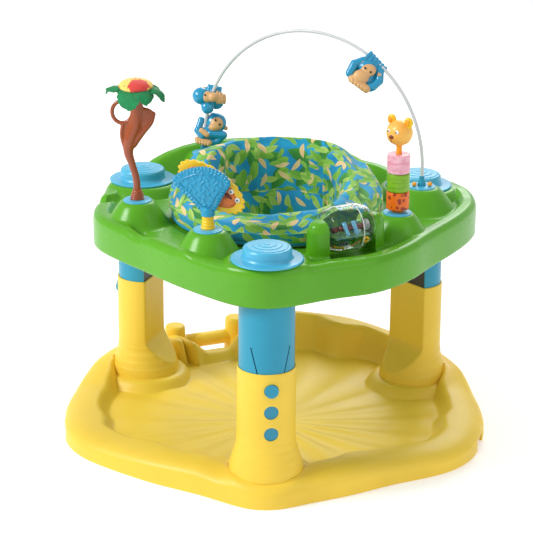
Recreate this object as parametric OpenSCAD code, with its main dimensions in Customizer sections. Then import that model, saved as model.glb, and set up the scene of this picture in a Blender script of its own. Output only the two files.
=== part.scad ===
// Activity jumper: a play saucer whose tray bounces on three sprung, height-adjustable legs.
// Millimetres. +Z is up, the origin is on the floor at the centre of the circle of legs,
// and the front leg stands at -90 degrees, towards -Y.

/* [Base] */
// Radius of the circle on which the three legs stand
leg_circle_r = 286; // [284:1:288]
// Height of the base's rim at the front
base_rim_h = 38; // [36:1:40]
// Height of the base's rim beside the rear legs
base_side_h = 66; // [62:1:70]
// Height of the base's rim at the back
base_back_h = 86; // [82:1:90]
// Wall thickness of the base
base_wall = 4; // [3:0.5:5]

/* [Legs] */
// Outer radius of a yellow lower leg
sleeve_r = 48.5; // [48:0.1:49]
// Height of a lower leg's top edge
sleeve_top_z = 225; // [220:1:230]
// Distance from a leg's axis to its flat inner face
leg_flat = 20; // [19.5:0.1:21]
// Turn of the leg's flat and button about the leg's axis, from straight out
leg_turn = 13; // [10:1:16]
// Height of the button when the tray is at its highest setting
button_z = 197; // [195:1:198]
// Distance between two height settings
height_step = 38; // [36:1:38]

/* [Tray] */
// Height of the tray's rim above the floor at the highest setting
tray_top_z = 401; // [400:1:402]
// Height of the tray's skirt
skirt_h = 60; // [56:1:60]
// Wall thickness of the tray
tray_wall = 3; // [2.5:0.5:3.5]
// Radius of the seat opening in the tray
seat_bore_r = 166; // [160:1:167]
// Radius of a toy's socket disc
socket_r = 24; // [22:1:25]

/* [Arch] */
// Radius of the arch's round top
arch_r = 218; // [216:1:219]
// Height of the centre of the arch's round top
arch_centre_z = 462; // [460:1:466]
// Radius of the arch's rod
rod_r = 3; // [2.5:0.25:3]

/* [Hidden] */
$fn = 64;
gap = 0.3;           // between parts that slide past each other
leg_angles = [-90, 30, 150];

// Radius of an outline at each angle, as [angle, radius], from the front leg once round.
base_outline = [
    [-90, 370], [-78, 334], [-64, 324], [-50, 320], [-38, 346], [-28, 370], [-9, 372], [12, 362],
    [30, 362], [50, 352], [70, 348], [90, 350], [150, 364], [168, 364], [189, 371], [196, 375],
    [206, 370], [222, 338], [236, 326], [250, 323], [258, 336], [270, 370]
];
tray_outline = [
    [-90, 350], [-79, 320], [-68, 302], [-57, 311], [-45, 302], [-24, 289], [-10, 305], [3, 334],
    [14, 364], [25, 367], [36, 350], [46, 322], [58, 308], [72, 316], [90, 328], [108, 334],
    [124, 331], [138, 340], [150, 352], [159, 328], [174, 316], [189, 317], [205, 286], [220, 272],
    [235, 280], [250, 302], [262, 336], [270, 350]
];
outline_step = 4;

// Base
pan_z = 14;              // top of the pan's floor
pan_floor = 3;
collar_r = 64;           // top radius of the collar round each leg
collar_foot_r = 84;
plug_r = 44;             // spigot under a lower leg
notch_w = 52;
notch_h = 20;
foot_angles = [193, -13, 90];
foot_pin_r = 5;
foot_pin_in = 16;        // pin's distance inside the wall
foot_reach = 22;
foot_r = 12;
handle_r = 14;
handle_start = 127;      // angle of the left lug
handle_end = 106;        // angle of the right lug
handle_circle_r = 340;
lug_r = 19;
lug_h = 78;
hand_hole_r = 288;
screw_r = 3;

// Legs
sleeve_wall = 2.2;
sleeve_foot_r = 61;
sleeve_ring_z = 98;      // where the flared foot begins
upper_r = sleeve_r - sleeve_wall - gap;
upper_wall = 2.5;
upper_z0 = 124;
upper_z1 = 368;
tube_r = upper_r - upper_wall - gap;
tube_flat = leg_flat - sleeve_wall - gap;
spring_bore_r = 14.2;
spring_seat_z = 250;
button_r = 11;
button_hole_r = 12;
button_out = 3.5;        // how far a button stands out of the lower leg
tongue_top_z = 268;
tongue_bottom_z = button_z - 16;
tongue_top_w = 31;       // half widths
tongue_bottom_w = 15;
slit = 1.6;

// Springs
coil_wire_r = 1.4;
coil_r = 11.8;
coil_turns = 9;
coil_steps = 12;

// Caps
cap_flange_r = 59;
cap_seat_z = tray_top_z + 5;
cap_flange_z = cap_seat_z + 3;
cap_top_z = tray_top_z + 31;
cap_r = 39.5;
cap_rings = [34, 24, 14, 5];
cap_spigot_r = 28;
cap_stem_r = 7;
cap_stem_z = 300;
spring_top_z = tray_top_z - 2;

// Tray
deck = 4;
skirt_z = tray_top_z - skirt_h;
boss_r = upper_r + gap + 4;
boss_z = skirt_z + 2;
floor_z = tray_top_z - 12;      // the deck inside the rim
rim_w = 32;
rear_rim_h = 39;                // raised rim behind the seat
side_rim_h = 17;                // and its lower run to the right leg
rear_rim_w = 26;
rear_rim_from = 84;
rear_rim_to = 137;
side_rim_from = 50;
well_depth = 14;
well_wall = 2.5;
// Hollows in the deck, as [angle, distance from the centre, radius]
wells = [[208, 232, 17], [218, 222, 14]];

// Toys
palm_at = [-234, -58];
fan_at = [-101, -211];
bear_at = [208, -96];
toy_z = tray_top_z + 27;        // top of the cones that carry the toys
cone_top_r = 27;
cone_foot_r = 42;
stem_r = 6;              // a toy's stem in its socket
stem_fit = 0.05;
socket_t = 3;
socket_spigot_r = 13;
socket_depth = 14;

// Arch: it stands on two feet, and spans from the right foot to the left one
arch_dir = 154.8;        // direction from the right foot to the left foot
arch_mid = [54, 151.5];
arch_right = arch_mid - arch_r * [cos(arch_dir), sin(arch_dir)];
arch_left = arch_mid + arch_r * [cos(arch_dir), sin(arch_dir)];
arch_post_r = 25;

// Fan toy
fan_yaw = -14;
fan_pivot = [-6, 62];    // where the bird plate's pin passes, across and up from the socket
fan_post_r = 11;
fan_post_h = 22;
fan_r = 82;
fan_front = -6;          // front and back faces of the panel
fan_back = 7;
bird_front = 12.5;
bird_t = 7;
bird_tilt = -34;
bird_half = [60, 33];
pin_r = 4;

// Bear toy
ring_bottoms = [436, 467.5, 499];
ring_tops = [467, 498.5, 531];
ring_r = 19;
bear_rod_r = 5;
head_z = 568;
head_r = 23;

// Monkeys on the arch: their angles round it, from the left foot
monkey_low_at = 2;
monkey_high_at = 19;
monkey_far_at = 126;
rod_slack = 0.8;
turn_bore_r = 5.8;       // clears the bent rod when the lowest monkey turns round it

// Drum
drum_angle = -57;
drum_dist = 226;
drum_z = tray_top_z + 29;
drum_r = 39;
drum_half = 42;
drum_wall = 2;
axle_r = 5;
post_gap = 2;
post_r = 19;
post_top_z = drum_z + 25;

// Seat
ring_in_r = 150;
ring_flange_r = 176;
roll_top_z = 433;
back_top_z = 488;
bucket_r = 124;
bucket_z = 256;
pad_t = 8;
leg_hole_r = 40;
leg_hole_x = 52;

// ---------- helpers ----------

function wrap(a) = a < -90 ? a + 360 : a >= 270 ? a - 360 : a;
// Radius of an outline at an angle, averaged over a few degrees so that its corners are round
function outline_r(table, a) =
    let (near = [for (d = [-6:2:6]) lookup(wrap(a + d), table)])
    near * [for (n = near) 1] / len(near);
function outline_points(table, inset) = [
    for (a = [-90:outline_step:270 - outline_step])
        (outline_r(table, a) - inset) * [cos(a), sin(a)]
];

module slab(table, inset, z0, z1) {
    translate([0, 0, z0])
        linear_extrude(z1 - z0) polygon(outline_points(table, inset));
}

// A wedge of the plan between two angles
module sector(from, to, r, z0, z1) {
    translate([0, 0, z0])
        linear_extrude(z1 - z0)
            polygon(concat([[0, 0]], [for (i = [0:8]) let (a = from + (to - from) * i / 8)
                r * [cos(a), sin(a)]]));
}

module ring(r_out, r_in, z0, z1) {
    translate([0, 0, z0])
        rotate_extrude() translate([r_in, 0]) square([r_out - r_in, z1 - z0]);
}

module disc(r, z0, z1) {
    translate([0, 0, z0]) cylinder(r = r, h = z1 - z0);
}

// Places a child at a leg: +X points out through the button, the flat is on the -X side
module at_leg(i) {
    a = leg_angles[i];
    translate([leg_circle_r * cos(a), leg_circle_r * sin(a), 0]) rotate(a + leg_turn) children();
}

module at_polar(angle, dist) {
    rotate(angle) translate([dist, 0, 0]) children();
}

// A round bar with a flat on its -X side
module d_bar(r, flat, z0, z1) {
    intersection() {
        disc(r, z0, z1);
        translate([-flat, -r - 1, z0 - 1]) cube([flat + r + 1, 2 * r + 2, z1 - z0 + 2]);
    }
}

// ---------- base ----------

module rim_band(from, to, h) {
    intersection() {
        difference() {
            slab(base_outline, 0, 0, h);
            slab(base_outline, base_wall, -1, h + 1);
        }
        sector(from, to, 420, 0, h);
    }
}

module hand_hole(z0, z1) {
    a0 = handle_start;
    a1 = handle_end;
    difference() {
        sector(a1 + 2, a0 - 2, 430, z0, z1);
        disc(hand_hole_r, z0 - 1, z1 + 1);
    }
}

module lug(angle) {
    at_polar(angle, handle_circle_r) {
        disc(lug_r, 0, lug_h);
        translate([-46, -lug_r, 0]) cube([46, 2 * lug_r, base_rim_h]);
    }
}

module base() {
    color("gold")
    difference() {
        union() {
            difference() {
                slab(base_outline, 0, 0, base_rim_h);
                slab(base_outline, base_wall, pan_z, base_rim_h + 1);
                slab(base_outline, base_wall, -1, pan_z - pan_floor);
                hand_hole(-1, base_rim_h + 1);
            }
            rim_band(18, handle_end - 2, base_side_h);
            rim_band(46, handle_end - 2, base_back_h);
            rim_band(handle_start + 2, 166, base_side_h);
            intersection() {
                ring(hand_hole_r, hand_hole_r - base_wall, 0, base_rim_h);
                sector(handle_end - 3, handle_start + 3, 430, 0, base_rim_h);
            }
            for (a = [handle_start, handle_end]) lug(a);
            for (i = [0:2]) at_leg(i) {
                translate([0, 0, pan_z - pan_floor])
                    cylinder(r1 = collar_foot_r - 12, r2 = collar_r - 2, h = base_rim_h - pan_z + pan_floor);
            }
        }
        for (i = [0:2]) at_leg(i) {
            disc(plug_r + gap, 15, base_rim_h + 1);
            for (s = [-1, 1]) translate([0, s * 26, 0]) disc(screw_r + gap, -1, 20);
        }
        for (a = foot_angles) at_polar(a, outline_r(base_outline, a)) {
            translate([-base_wall - 4, -notch_w / 2, -1]) cube([base_wall + 9, notch_w, notch_h + 1]);
            translate([-foot_pin_in, -8, 0]) disc(foot_pin_r, 1, pan_z + 1);
        }
        handle_bar(handle_r + gap, 10);
    }
}

// The bar of the handle, running into each lug by `into`
module handle_bar(r, into) {
    p0 = handle_circle_r * [cos(handle_start), sin(handle_start)];
    p1 = handle_circle_r * [cos(handle_end), sin(handle_end)];
    d = p1 - p0;
    span = norm(d);
    translate([p0[0], p0[1], 40])
        rotate([0, 90, atan2(d[1], d[0])])
            translate([0, 0, lug_r - into])
                cylinder(r = r, h = span - 2 * lug_r + 2 * into);
}

module carry_handle() {
    color("gold") handle_bar(handle_r, 9);
}

module at_foot(i) {
    a = foot_angles[i];
    at_polar(a, outline_r(base_outline, a) - foot_pin_in) translate([0, -8, 0]) children();
}

module foot_pins() {
    color("silver")
    for (i = [0:2]) at_foot(i) {
        disc(foot_pin_r, 1.2, pan_z + 1);
        disc(foot_pin_r + 3, 0.6, 1.2);
    }
}

// A small paddle that points in under the pan and swings out through the notch
module foot(i) {
    color("gold")
    at_foot(i) difference() {
        union() {
            disc(foot_r, 1.5, 10);
            translate([-foot_reach, 0, 0]) disc(foot_r, 1.5, 10);
            translate([-foot_reach, -foot_r, 1.5]) cube([foot_reach, 2 * foot_r, 8.5]);
        }
        disc(foot_pin_r + stem_fit, 1, 11);
    }
}

// ---------- legs ----------

module sleeve_flare() {
    translate([0, 0, base_rim_h + 3])
        cylinder(r1 = sleeve_foot_r - 1, r2 = sleeve_r + 1, h = sleeve_ring_z - base_rim_h - 3);
}

module sleeve(i) {
    cut = sleeve_foot_r - leg_flat;
    color("gold")
    at_leg(i) difference() {
        union() {
            d_bar(sleeve_r, leg_flat, base_rim_h, sleeve_top_z);
            disc(sleeve_foot_r, base_rim_h, base_rim_h + 4);
            disc(plug_r, 18, base_rim_h);
            difference() {
                sleeve_flare();
                translate([-leg_flat - 1, 0, sleeve_ring_z + 8])
                    rotate([0, 180 + atan2(cut - 8, sleeve_ring_z - base_rim_h), 0])
                        translate([0, -90, -20]) cube([90, 180, 110]);
            }
        }
        d_bar(sleeve_r - sleeve_wall, leg_flat - sleeve_wall, base_rim_h + 4, sleeve_top_z + 1);
        for (k = [0:2])
            translate([30, 0, button_z - k * height_step])
                rotate([0, 90, 0]) cylinder(r = button_hole_r, h = 30);
        for (s = [-1, 1]) translate([0, s * 26, 0]) disc(screw_r, 17, 32);
    }
}

module sleeve_screws() {
    color("silver")
    for (i = [0:2]) at_leg(i)
        for (s = [-1, 1]) translate([0, s * 26, 0]) {
            disc(screw_r, 11, 31);
            disc(screw_r + 3, 8, 11);
        }
}

// Outline of the tongue in the plane behind the button, grown by g on every side
module tongue_cut(g, top) {
    rotate([90, 0, 90])
        linear_extrude(80)
            polygon([
                [-tongue_top_w - g, top], [tongue_top_w + g, top],
                [tongue_bottom_w + g, button_z], [tongue_bottom_w + g, tongue_bottom_z - g],
                [-tongue_bottom_w - g, tongue_bottom_z - g], [-tongue_bottom_w - g, button_z]
            ]);
}

module upper_shell(z0, z1) {
    difference() {
        d_bar(upper_r, leg_flat - sleeve_wall - 2 * gap, z0, z1);
        disc(upper_r - upper_wall, z0 - 1, z1 + 1);
    }
}

module upper_leg(i) {
    color("deepskyblue")
    at_leg(i) difference() {
        upper_shell(upper_z0, upper_z1);
        tongue_cut(slit, tongue_top_z + 0.5);
    }
}

module button(i) {
    color("deepskyblue")
    at_leg(i) {
        intersection() {
            upper_shell(upper_z0, upper_z1);
            tongue_cut(0, tongue_top_z);
        }
        translate([upper_r - upper_wall + 0.4, 0, button_z]) rotate([0, 90, 0])
            cylinder(r = button_r, h = sleeve_r + button_out - upper_r + upper_wall - 0.4);
    }
}

// The dark tube inside the upper leg: it holds the spring and backs the open side
module spring_tube(i) {
    color([0.08, 0.08, 0.09])
    at_leg(i) difference() {
        union() {
            difference() {
                d_bar(tube_r, tube_flat, upper_z0, upper_z1);
                d_bar(tube_r - 2, tube_flat - 2, upper_z0 - 1, upper_z1 - 4);
            }
            disc(spring_bore_r + 2, upper_z0, upper_z1);
        }
        disc(spring_bore_r, spring_seat_z, upper_z1 + 1);
        disc(spring_bore_r, upper_z0 - 1, spring_seat_z - 4);
        translate([tube_r - 14, -tongue_top_w - 4, tongue_bottom_z - 6])
            cube([20, 2 * tongue_top_w + 8, tongue_top_z - tongue_bottom_z + 8]);
    }
}

function coil_point(n) =
    let (a = 360 * n / coil_steps, z = spring_seat_z + coil_wire_r
        + (spring_top_z - spring_seat_z - 2 * coil_wire_r) * n / (coil_steps * coil_turns))
    [coil_r * cos(a), coil_r * sin(a), z];

// A coil spring: a six-sided wire swept up a helix
module bounce_spring(i) {
    count = coil_steps * coil_turns;
    sides = 6;
    points = [for (n = [0:count]) for (k = [0:sides - 1])
        let (a = 360 * n / coil_steps, p = coil_point(n), t = 360 * k / sides)
        p + coil_wire_r * [cos(t) * cos(a), cos(t) * sin(a), sin(t)]];
    walls = [for (n = [0:count - 1]) for (k = [0:sides - 1])
        [n * sides + k, (n + 1) * sides + k, (n + 1) * sides + (k + 1) % sides, n * sides + (k + 1) % sides]];
    start = [for (k = [0:sides - 1]) k];
    end = [for (k = [sides - 1:-1:0]) count * sides + k];
    color("silver") at_leg(i) polyhedron(points, concat(walls, [start, end]));
}

module cap(i) {
    color("deepskyblue")
    at_leg(i) difference() {
        union() {
            disc(cap_flange_r, cap_seat_z, cap_flange_z);
            disc(cap_spigot_r, spring_top_z, cap_seat_z);
            disc(cap_stem_r, cap_stem_z, spring_top_z);
            disc(cap_r, cap_flange_z, cap_top_z - len(cap_rings));
            for (k = [0:len(cap_rings) - 1])
                disc(cap_rings[k], cap_top_z - len(cap_rings) + k - 0.5, cap_top_z - len(cap_rings) + k + 1);
        }
        ring(cap_r - 3, cap_stem_r + 3, cap_seat_z - 10, cap_top_z - len(cap_rings) - 3);
        for (a = [-35, 145]) rotate(a) translate([cap_flange_r - 6, -2, cap_seat_z - 1]) cube([8, 4, 6]);
    }
}

// ---------- tray ----------

module drum_post_place() {
    rotate(drum_angle) translate([drum_dist, 0, 0]) rotate(90) children();
}

// Both posts: a flat face towards the drum, a round one away from it
module drum_posts() {
    start = drum_half + post_gap;
    drum_post_place()
        for (s = [-1, 1]) {
            intersection() {
                translate([s * start, 0, 0]) disc(post_r, floor_z - 10, post_top_z);
                translate([s > 0 ? start : -start - 60, -60, 0]) cube([60, 120, 600]);
            }
        }
}

module drum_well(grow, z0, z1) {
    drum_post_place()
        translate([-drum_half - post_gap - grow, -drum_r - 5 - grow, z0])
            cube([2 * (drum_half + post_gap + grow), 2 * (drum_r + 5 + grow), z1 - z0]);
}

// A cone that carries a toy, hollow from below
module cone(p, top_r, foot_r, grow) {
    translate([p[0], p[1], floor_z - deck])
        cylinder(r1 = foot_r + grow, r2 = top_r + grow, h = toy_z - floor_z + deck + (grow < 0 ? -4 : 0));
}

module cones(grow) {
    for (p = [palm_at, fan_at, bear_at, arch_left]) cone(p, cone_top_r, cone_foot_r, grow);
    cone(arch_right, arch_post_r, arch_post_r, grow);
}

module tray_rim_band(from, to, h) {
    intersection() {
        difference() {
            slab(tray_outline, 1, tray_top_z - deck, tray_top_z + h);
            slab(tray_outline, rear_rim_w, tray_top_z - deck - 1, tray_top_z + h + 1);
            slab(tray_outline, 5, tray_top_z - deck - 1, tray_top_z + h - deck);
        }
        sector(from, to, 420, tray_top_z - deck, tray_top_z + h);
    }
}

module tray_shell() {
    difference() {
        slab(tray_outline, 0, skirt_z, tray_top_z);
        slab(tray_outline, tray_wall, skirt_z - 1, tray_top_z - deck);
        slab(tray_outline, rim_w, skirt_z - 1, tray_top_z + 1);
    }
    difference() {
        slab(tray_outline, rim_w - tray_wall, floor_z - deck, tray_top_z);
        slab(tray_outline, rim_w, floor_z, tray_top_z + 1);
    }
}

module tray() {
    color("limegreen")
    difference() {
        union() {
            tray_shell();
            tray_rim_band(rear_rim_from, rear_rim_to, rear_rim_h);
            tray_rim_band(side_rim_from, rear_rim_from, side_rim_h);
            for (i = [0:2]) at_leg(i) {
                disc(cap_flange_r + 1, floor_z - 1, cap_seat_z);
                disc(boss_r, boss_z, tray_top_z);
            }
            for (w = wells) at_polar(w[0], w[1])
                disc(w[2] + well_wall, floor_z - well_depth - well_wall, floor_z);
            cones(0);
            drum_well(well_wall, floor_z - 10, floor_z);
            ring(seat_bore_r + 4, seat_bore_r, floor_z - 8, floor_z);
        }
        disc(seat_bore_r, skirt_z - 2, floor_z + 1);
        for (i = [0:2]) at_leg(i) {
            disc(upper_r + gap, boss_z - 1, tray_top_z - deck);
            disc(cap_spigot_r + gap, skirt_z, tray_top_z + 60);
        }
        for (w = wells) at_polar(w[0], w[1]) disc(w[2], floor_z - well_depth, floor_z + 1);
        drum_well(0, floor_z - 7, floor_z + 30);
        cones(-3);
        for (p = [palm_at, fan_at, bear_at, arch_left, arch_right]) translate([p[0], p[1], 0])
            disc(socket_spigot_r + gap, toy_z - 30, toy_z + 1);
    }
    color("limegreen") difference() {
        drum_posts();
        drum_axle_bar(axle_r + stem_fit, 7);
    }
}

// ---------- sockets ----------

module socket(p, hole_r) {
    color("deepskyblue")
    translate([p[0], p[1], toy_z]) difference() {
        union() {
            cylinder(r = socket_r, h = socket_t);
            translate([0, 0, -socket_depth]) cylinder(r = socket_spigot_r, h = socket_depth);
        }
        translate([0, 0, 2 - socket_depth]) cylinder(r = hole_r, h = 40);
    }
}

// ---------- seat ----------

module seat_ring() {
    color("white") {
        ring(ring_flange_r, ring_in_r, floor_z + gap, floor_z + 3);
        ring(seat_bore_r - gap, ring_in_r, floor_z - 16, floor_z + gap);
    }
}

module seat_keeper() {
    color("white") ring(seat_bore_r + 3, seat_bore_r - gap, floor_z - 16, floor_z - 9);
}

// Half outline of the fabric bucket and its padded roll
module bucket_profile() {
    base_z = floor_z + 3.5;
    floor_r = bucket_r - 26;
    polygon([
        [0, bucket_z], [floor_r, bucket_z], [bucket_r, bucket_z + 70], [bucket_r, base_z],
        [ring_flange_r - 4, base_z], [ring_flange_r + 2, base_z + 12], [ring_flange_r, roll_top_z - 12],
        [ring_flange_r - 12, roll_top_z], [bucket_r + 8, roll_top_z], [bucket_r - pad_t, roll_top_z - 10],
        [bucket_r - pad_t, bucket_z + 72], [floor_r - 5, bucket_z + pad_t], [0, bucket_z + pad_t]
    ]);
}

// Half outline of the raised back
module back_profile() {
    polygon([
        [bucket_r, roll_top_z - 6], [ring_flange_r - 6, roll_top_z - 6],
        [ring_flange_r - 4, back_top_z - 14], [ring_flange_r - 12, back_top_z],
        [bucket_r + 12, back_top_z], [bucket_r, back_top_z - 14]
    ]);
}

// Fabric seat: a padded roll on the ring, a hanging bucket with two leg holes, a raised back
module seat_pad() {
    color("turquoise")
    difference() {
        union() {
            rotate_extrude() bucket_profile();
            intersection() {
                rotate_extrude() back_profile();
                sector(30, 150, 300, floor_z, back_top_z);
            }
        }
        for (s = [-1, 1]) translate([s * leg_hole_x, -58, bucket_z - 5]) cylinder(r = leg_hole_r, h = 30);
    }
}

// ---------- palm toy ----------

module palm_place() {
    translate([palm_at[0], palm_at[1], toy_z + socket_t]) children();
}

module limb(from, to, r0, r1) {
    hull() {
        translate(from) sphere(r = r0, $fn = 20);
        translate(to) sphere(r = r1, $fn = 20);
    }
}

module palm_stalk() {
    color("sienna")
    palm_place() {
        translate([0, 0, 1 - socket_depth]) cylinder(r = stem_r - stem_fit, h = socket_depth);
        cylinder(r1 = 11, r2 = 8, h = 20);
        limb([0, 0, 18], [-8, 0, 62], 7, 6);
        limb([-8, 0, 62], [-14, 0, 110], 6, 9);
        limb([-14, 0, 110], [-4, 0, 178], 9, 7);
        limb([-12, 0, 96], [14, 0, 142], 5, 5);
        translate([-27, 0, 150]) rotate([90, 0, 0]) rotate_extrude() translate([14, 0]) circle(r = 4);
    }
}

// Five hanging leaves round a hollow crown
module palm_leaves() {
    color("green")
    palm_place() translate([-4, 0, 186]) {
        ring(24, 9, -6, 4);
        for (k = [0:4]) rotate(72 * k + 18) translate([36, 0, 0]) rotate([0, 16, 0])
            translate([0, 0, -10]) cylinder(r = 20, h = 4);
    }
}

module palm_flower() {
    color("gold")
    palm_place() translate([-4, 0, 190.4]) {
        cylinder(r = 30, h = 4);
        translate([0, 0, 4]) cylinder(r1 = 30, r2 = 14, h = 11);
    }
}

// ---------- fan toy ----------

module fan_place() {
    translate([fan_at[0], fan_at[1], toy_z + socket_t]) rotate(fan_yaw) children();
}

module fan_post() {
    color("gold")
    fan_place() {
        translate([0, 0, 1 - socket_depth]) cylinder(r = stem_r - stem_fit, h = socket_depth);
        cylinder(r = fan_post_r, h = fan_post_h);
    }
}

// Places a child at the pin: +Z points out at the front
module at_pin() {
    fan_place() translate([fan_pivot[0], 0, fan_pivot[1]]) rotate([90, 0, 0]) children();
}

// A fan-shaped quilted panel, standing on the post
module fan_panel() {
    arc_from = 48;
    arc_step = 7.4;
    arc = [for (i = [0:12]) fan_r * [cos(arc_from + arc_step * i), sin(arc_from + arc_step * i)] + [-4, 0]];
    color("deepskyblue")
    difference() {
        fan_place() {
            translate([0, 0, fan_post_h + 0.4]) cylinder(r = fan_post_r + 1, h = 10);
            translate([0, fan_back, 18]) rotate([90, 0, 0])
                linear_extrude(fan_back - fan_front) polygon(concat([[-8, 12], [8, 12]], arc));
        }
        at_pin() cylinder(r = pin_r + stem_fit, h = 60, center = true);
    }
}

module fan_pin() {
    back = bird_front + bird_t + 1;
    color("gold")
    at_pin() {
        translate([0, 0, -back]) cylinder(r = pin_r, h = back - fan_front + 1);
        translate([0, 0, -back - 2]) cylinder(r = 2 * pin_r, h = 2);
        translate([0, 0, 0.5 - fan_front]) cylinder(r = 2 * pin_r - 1, h = 2);
    }
}

// A long scalloped plate behind the panel, turning on the pin
module fan_bird() {
    function edge(a) = 1 / sqrt(pow(cos(a) / bird_half[0], 2) + pow(sin(a) / bird_half[1], 2))
        + 1.5 * cos(12 * a);
    color("orange")
    at_pin() rotate(bird_tilt) translate([0, 0, -bird_front - bird_t]) difference() {
        linear_extrude(bird_t) polygon([for (a = [0:7.5:352.5]) edge(a) * [cos(a), sin(a)]]);
        translate([0, 0, -1]) cylinder(r = pin_r + stem_fit, h = bird_t + 2);
    }
}

// ---------- bear toy ----------

module bear_place() {
    translate([bear_at[0], bear_at[1], 0]) children();
}

module bear_post() {
    color("orange")
    bear_place() {
        disc(stem_r - stem_fit, toy_z + socket_t + 1 - socket_depth, toy_z + socket_t);
        disc(11, toy_z + socket_t, ring_bottoms[0] - 0.3);
        disc(bear_rod_r, ring_bottoms[0] - 0.3, head_z - 8);
    }
}

module toy_ring(k, name) {
    color(name)
    bear_place() ring(ring_r, bear_rod_r + stem_fit, ring_bottoms[k], ring_tops[k]);
}

module bear_head() {
    color("orange")
    bear_place() rotate(-35) difference() {
        union() {
            translate([0, 0, head_z]) sphere(r = head_r, $fn = 48);
            translate([0, -17, head_z - 7]) sphere(r = 11, $fn = 32);
            for (s = [-1, 1]) translate([s * 17, 0, head_z + 20]) rotate([90, 0, 0])
                translate([0, 0, -4]) cylinder(r = 9, h = 8);
        }
        disc(bear_rod_r + stem_fit, head_z - head_r - 2, head_z - 7.9);
    }
}

// ---------- drum toy ----------

module drum_place() {
    drum_post_place() translate([0, 0, drum_z]) rotate([0, 90, 0]) children();
}

module drum_axle_bar(r, into) {
    drum_place() for (s = [-1, 1])
        translate([0, 0, s > 0 ? drum_half - 2 : -drum_half + 2 - post_gap - into])
            cylinder(r = r, h = post_gap + into);
}

// Half outline of the barrel: [distance along the axle, radius]
module drum_profile(r, half) {
    polygon([
        [0, -half], [r * 0.66, -half], [r * 0.88, -half * 0.86], [r, -half * 0.55],
        [r, half * 0.55], [r * 0.88, half * 0.86], [r * 0.66, half], [0, half]
    ]);
}

module drum_barrel() {
    color([0.8, 0.9, 0.95, 0.4])
    drum_place() difference() {
        rotate_extrude() drum_profile(drum_r, drum_half);
        rotate_extrude() drum_profile(drum_r - drum_wall, drum_half - drum_wall);
        for (s = [-1, 1]) translate([0, 0, s * drum_half - 5]) cylinder(r = axle_r, h = 10);
    }
}

module drum_axles() {
    color("white") drum_axle_bar(axle_r, 6);
}

// The picture wheel inside: a hub on the axles, four rungs and two side plates
module drum_scene() {
    color("skyblue")
    drum_place() {
        cylinder(r = 3, h = 2 * drum_half - 4.2, center = true);
        for (s = [-1, 1]) translate([0, 0, s * 22 - 1]) cylinder(r = 26, h = 2);
        for (a = [0:90:270]) rotate(a) translate([22, -4, -22]) cube([3, 8, 44]);
    }
}

module drum_beads() {
    color("red")
    drum_post_place() translate([0, 0, drum_z])
        for (k = [-3:3]) translate([k * 7.5, (k % 2) * 6, -drum_r + drum_wall + 4.4])
            sphere(r = 3, $fn = 16);
}

// ---------- arch ----------

module arch_place() {
    translate([arch_mid[0], arch_mid[1], arch_centre_z]) rotate([90, 0, arch_dir]) children();
}

// The rod, grown by g: half a ring on two straight ends
module rod(g) {
    arch_place() {
        rotate_extrude(angle = 180, $fn = 96) translate([arch_r, 0]) circle(r = rod_r + g, $fn = 24);
        for (s = [-1, 1]) translate([s * arch_r, 0, 0]) rotate([90, 0, 0])
            cylinder(r = rod_r + g, h = arch_centre_z - toy_z - 1, $fn = 24);
    }
}

module arch_rod() {
    color("white") rod(0);
}

module arch_beads() {
    color("orange")
    translate([arch_right[0], arch_right[1], toy_z + socket_t + 4.2])
        for (a = [20, 200]) rotate(a) translate([15, 0, 0]) sphere(r = 4, $fn = 20);
}

// Places a child on the rod: +Z runs along it, +X points out of the arch
module on_rod(angle) {
    arch_place() rotate(angle) translate([arch_r, 0, 0]) rotate([-90, 0, 0]) children();
}

// A small figure with the rod through its body
module monkey(angle) {
    color("dodgerblue")
    difference() {
        on_rod(angle) {
            translate([-3, 0, -10]) sphere(r = 18, $fn = 32);
            translate([2, 6, 12]) sphere(r = 17, $fn = 32);
            for (s = [-1, 1]) {
                translate([2 + s * 16, 4, 14]) sphere(r = 6, $fn = 16);
                translate([s * 14 - 3, 8, -18]) sphere(r = 8, $fn = 20);
            }
        }
        rod(rod_slack);
    }
}

// The lowest figure turns round the rod, so its bore is wider
module turning_monkey(angle) {
    difference() {
        monkey(angle);
        on_rod(angle) cylinder(r = turn_bore_r, h = 80, center = true);
    }
}

// ---------- the assembly ----------

base();
carry_handle();
foot_pins();
foot(0);  // foot_left
foot(1);  // foot_right
foot(2);  // foot_rear
sleeve(0);  // sleeve_front
sleeve(1);  // sleeve_right
sleeve(2);  // sleeve_left
sleeve_screws();
upper_leg(0);  // upper_leg_front
upper_leg(1);  // upper_leg_right
upper_leg(2);  // upper_leg_left
button(0);  // button_front
button(1);  // button_right
button(2);  // button_left
spring_tube(0);  // spring_tube_front
spring_tube(1);  // spring_tube_right
spring_tube(2);  // spring_tube_left
bounce_spring(0);  // spring_front
bounce_spring(1);  // spring_right
bounce_spring(2);  // spring_left
tray();
cap(0);  // cap_front
cap(1);  // cap_right
cap(2);  // cap_left
socket(palm_at, stem_r);  // socket_palm
socket(fan_at, stem_r);  // socket_fan
socket(bear_at, stem_r);  // socket_bear
socket(arch_right, rod_r);  // socket_arch_right
socket(arch_left, rod_r);  // socket_arch_left
seat_ring();
seat_keeper();
seat_pad();
palm_stalk();
palm_leaves();
palm_flower();
fan_post();
fan_panel();
fan_pin();
fan_bird();
bear_post();
toy_ring(0, "orange");  // ring_orange
toy_ring(1, "green");  // ring_green
toy_ring(2, "pink");  // ring_pink
bear_head();
drum_barrel();
drum_axles();
drum_scene();
drum_beads();
arch_rod();
arch_beads();
turning_monkey(monkey_low_at);  // monkey_low
monkey(monkey_high_at);  // monkey_high
monkey(monkey_far_at);  // monkey_far
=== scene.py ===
import math

import bmesh
import bpy
import numpy as np
from mathutils import Matrix, Vector


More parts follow.
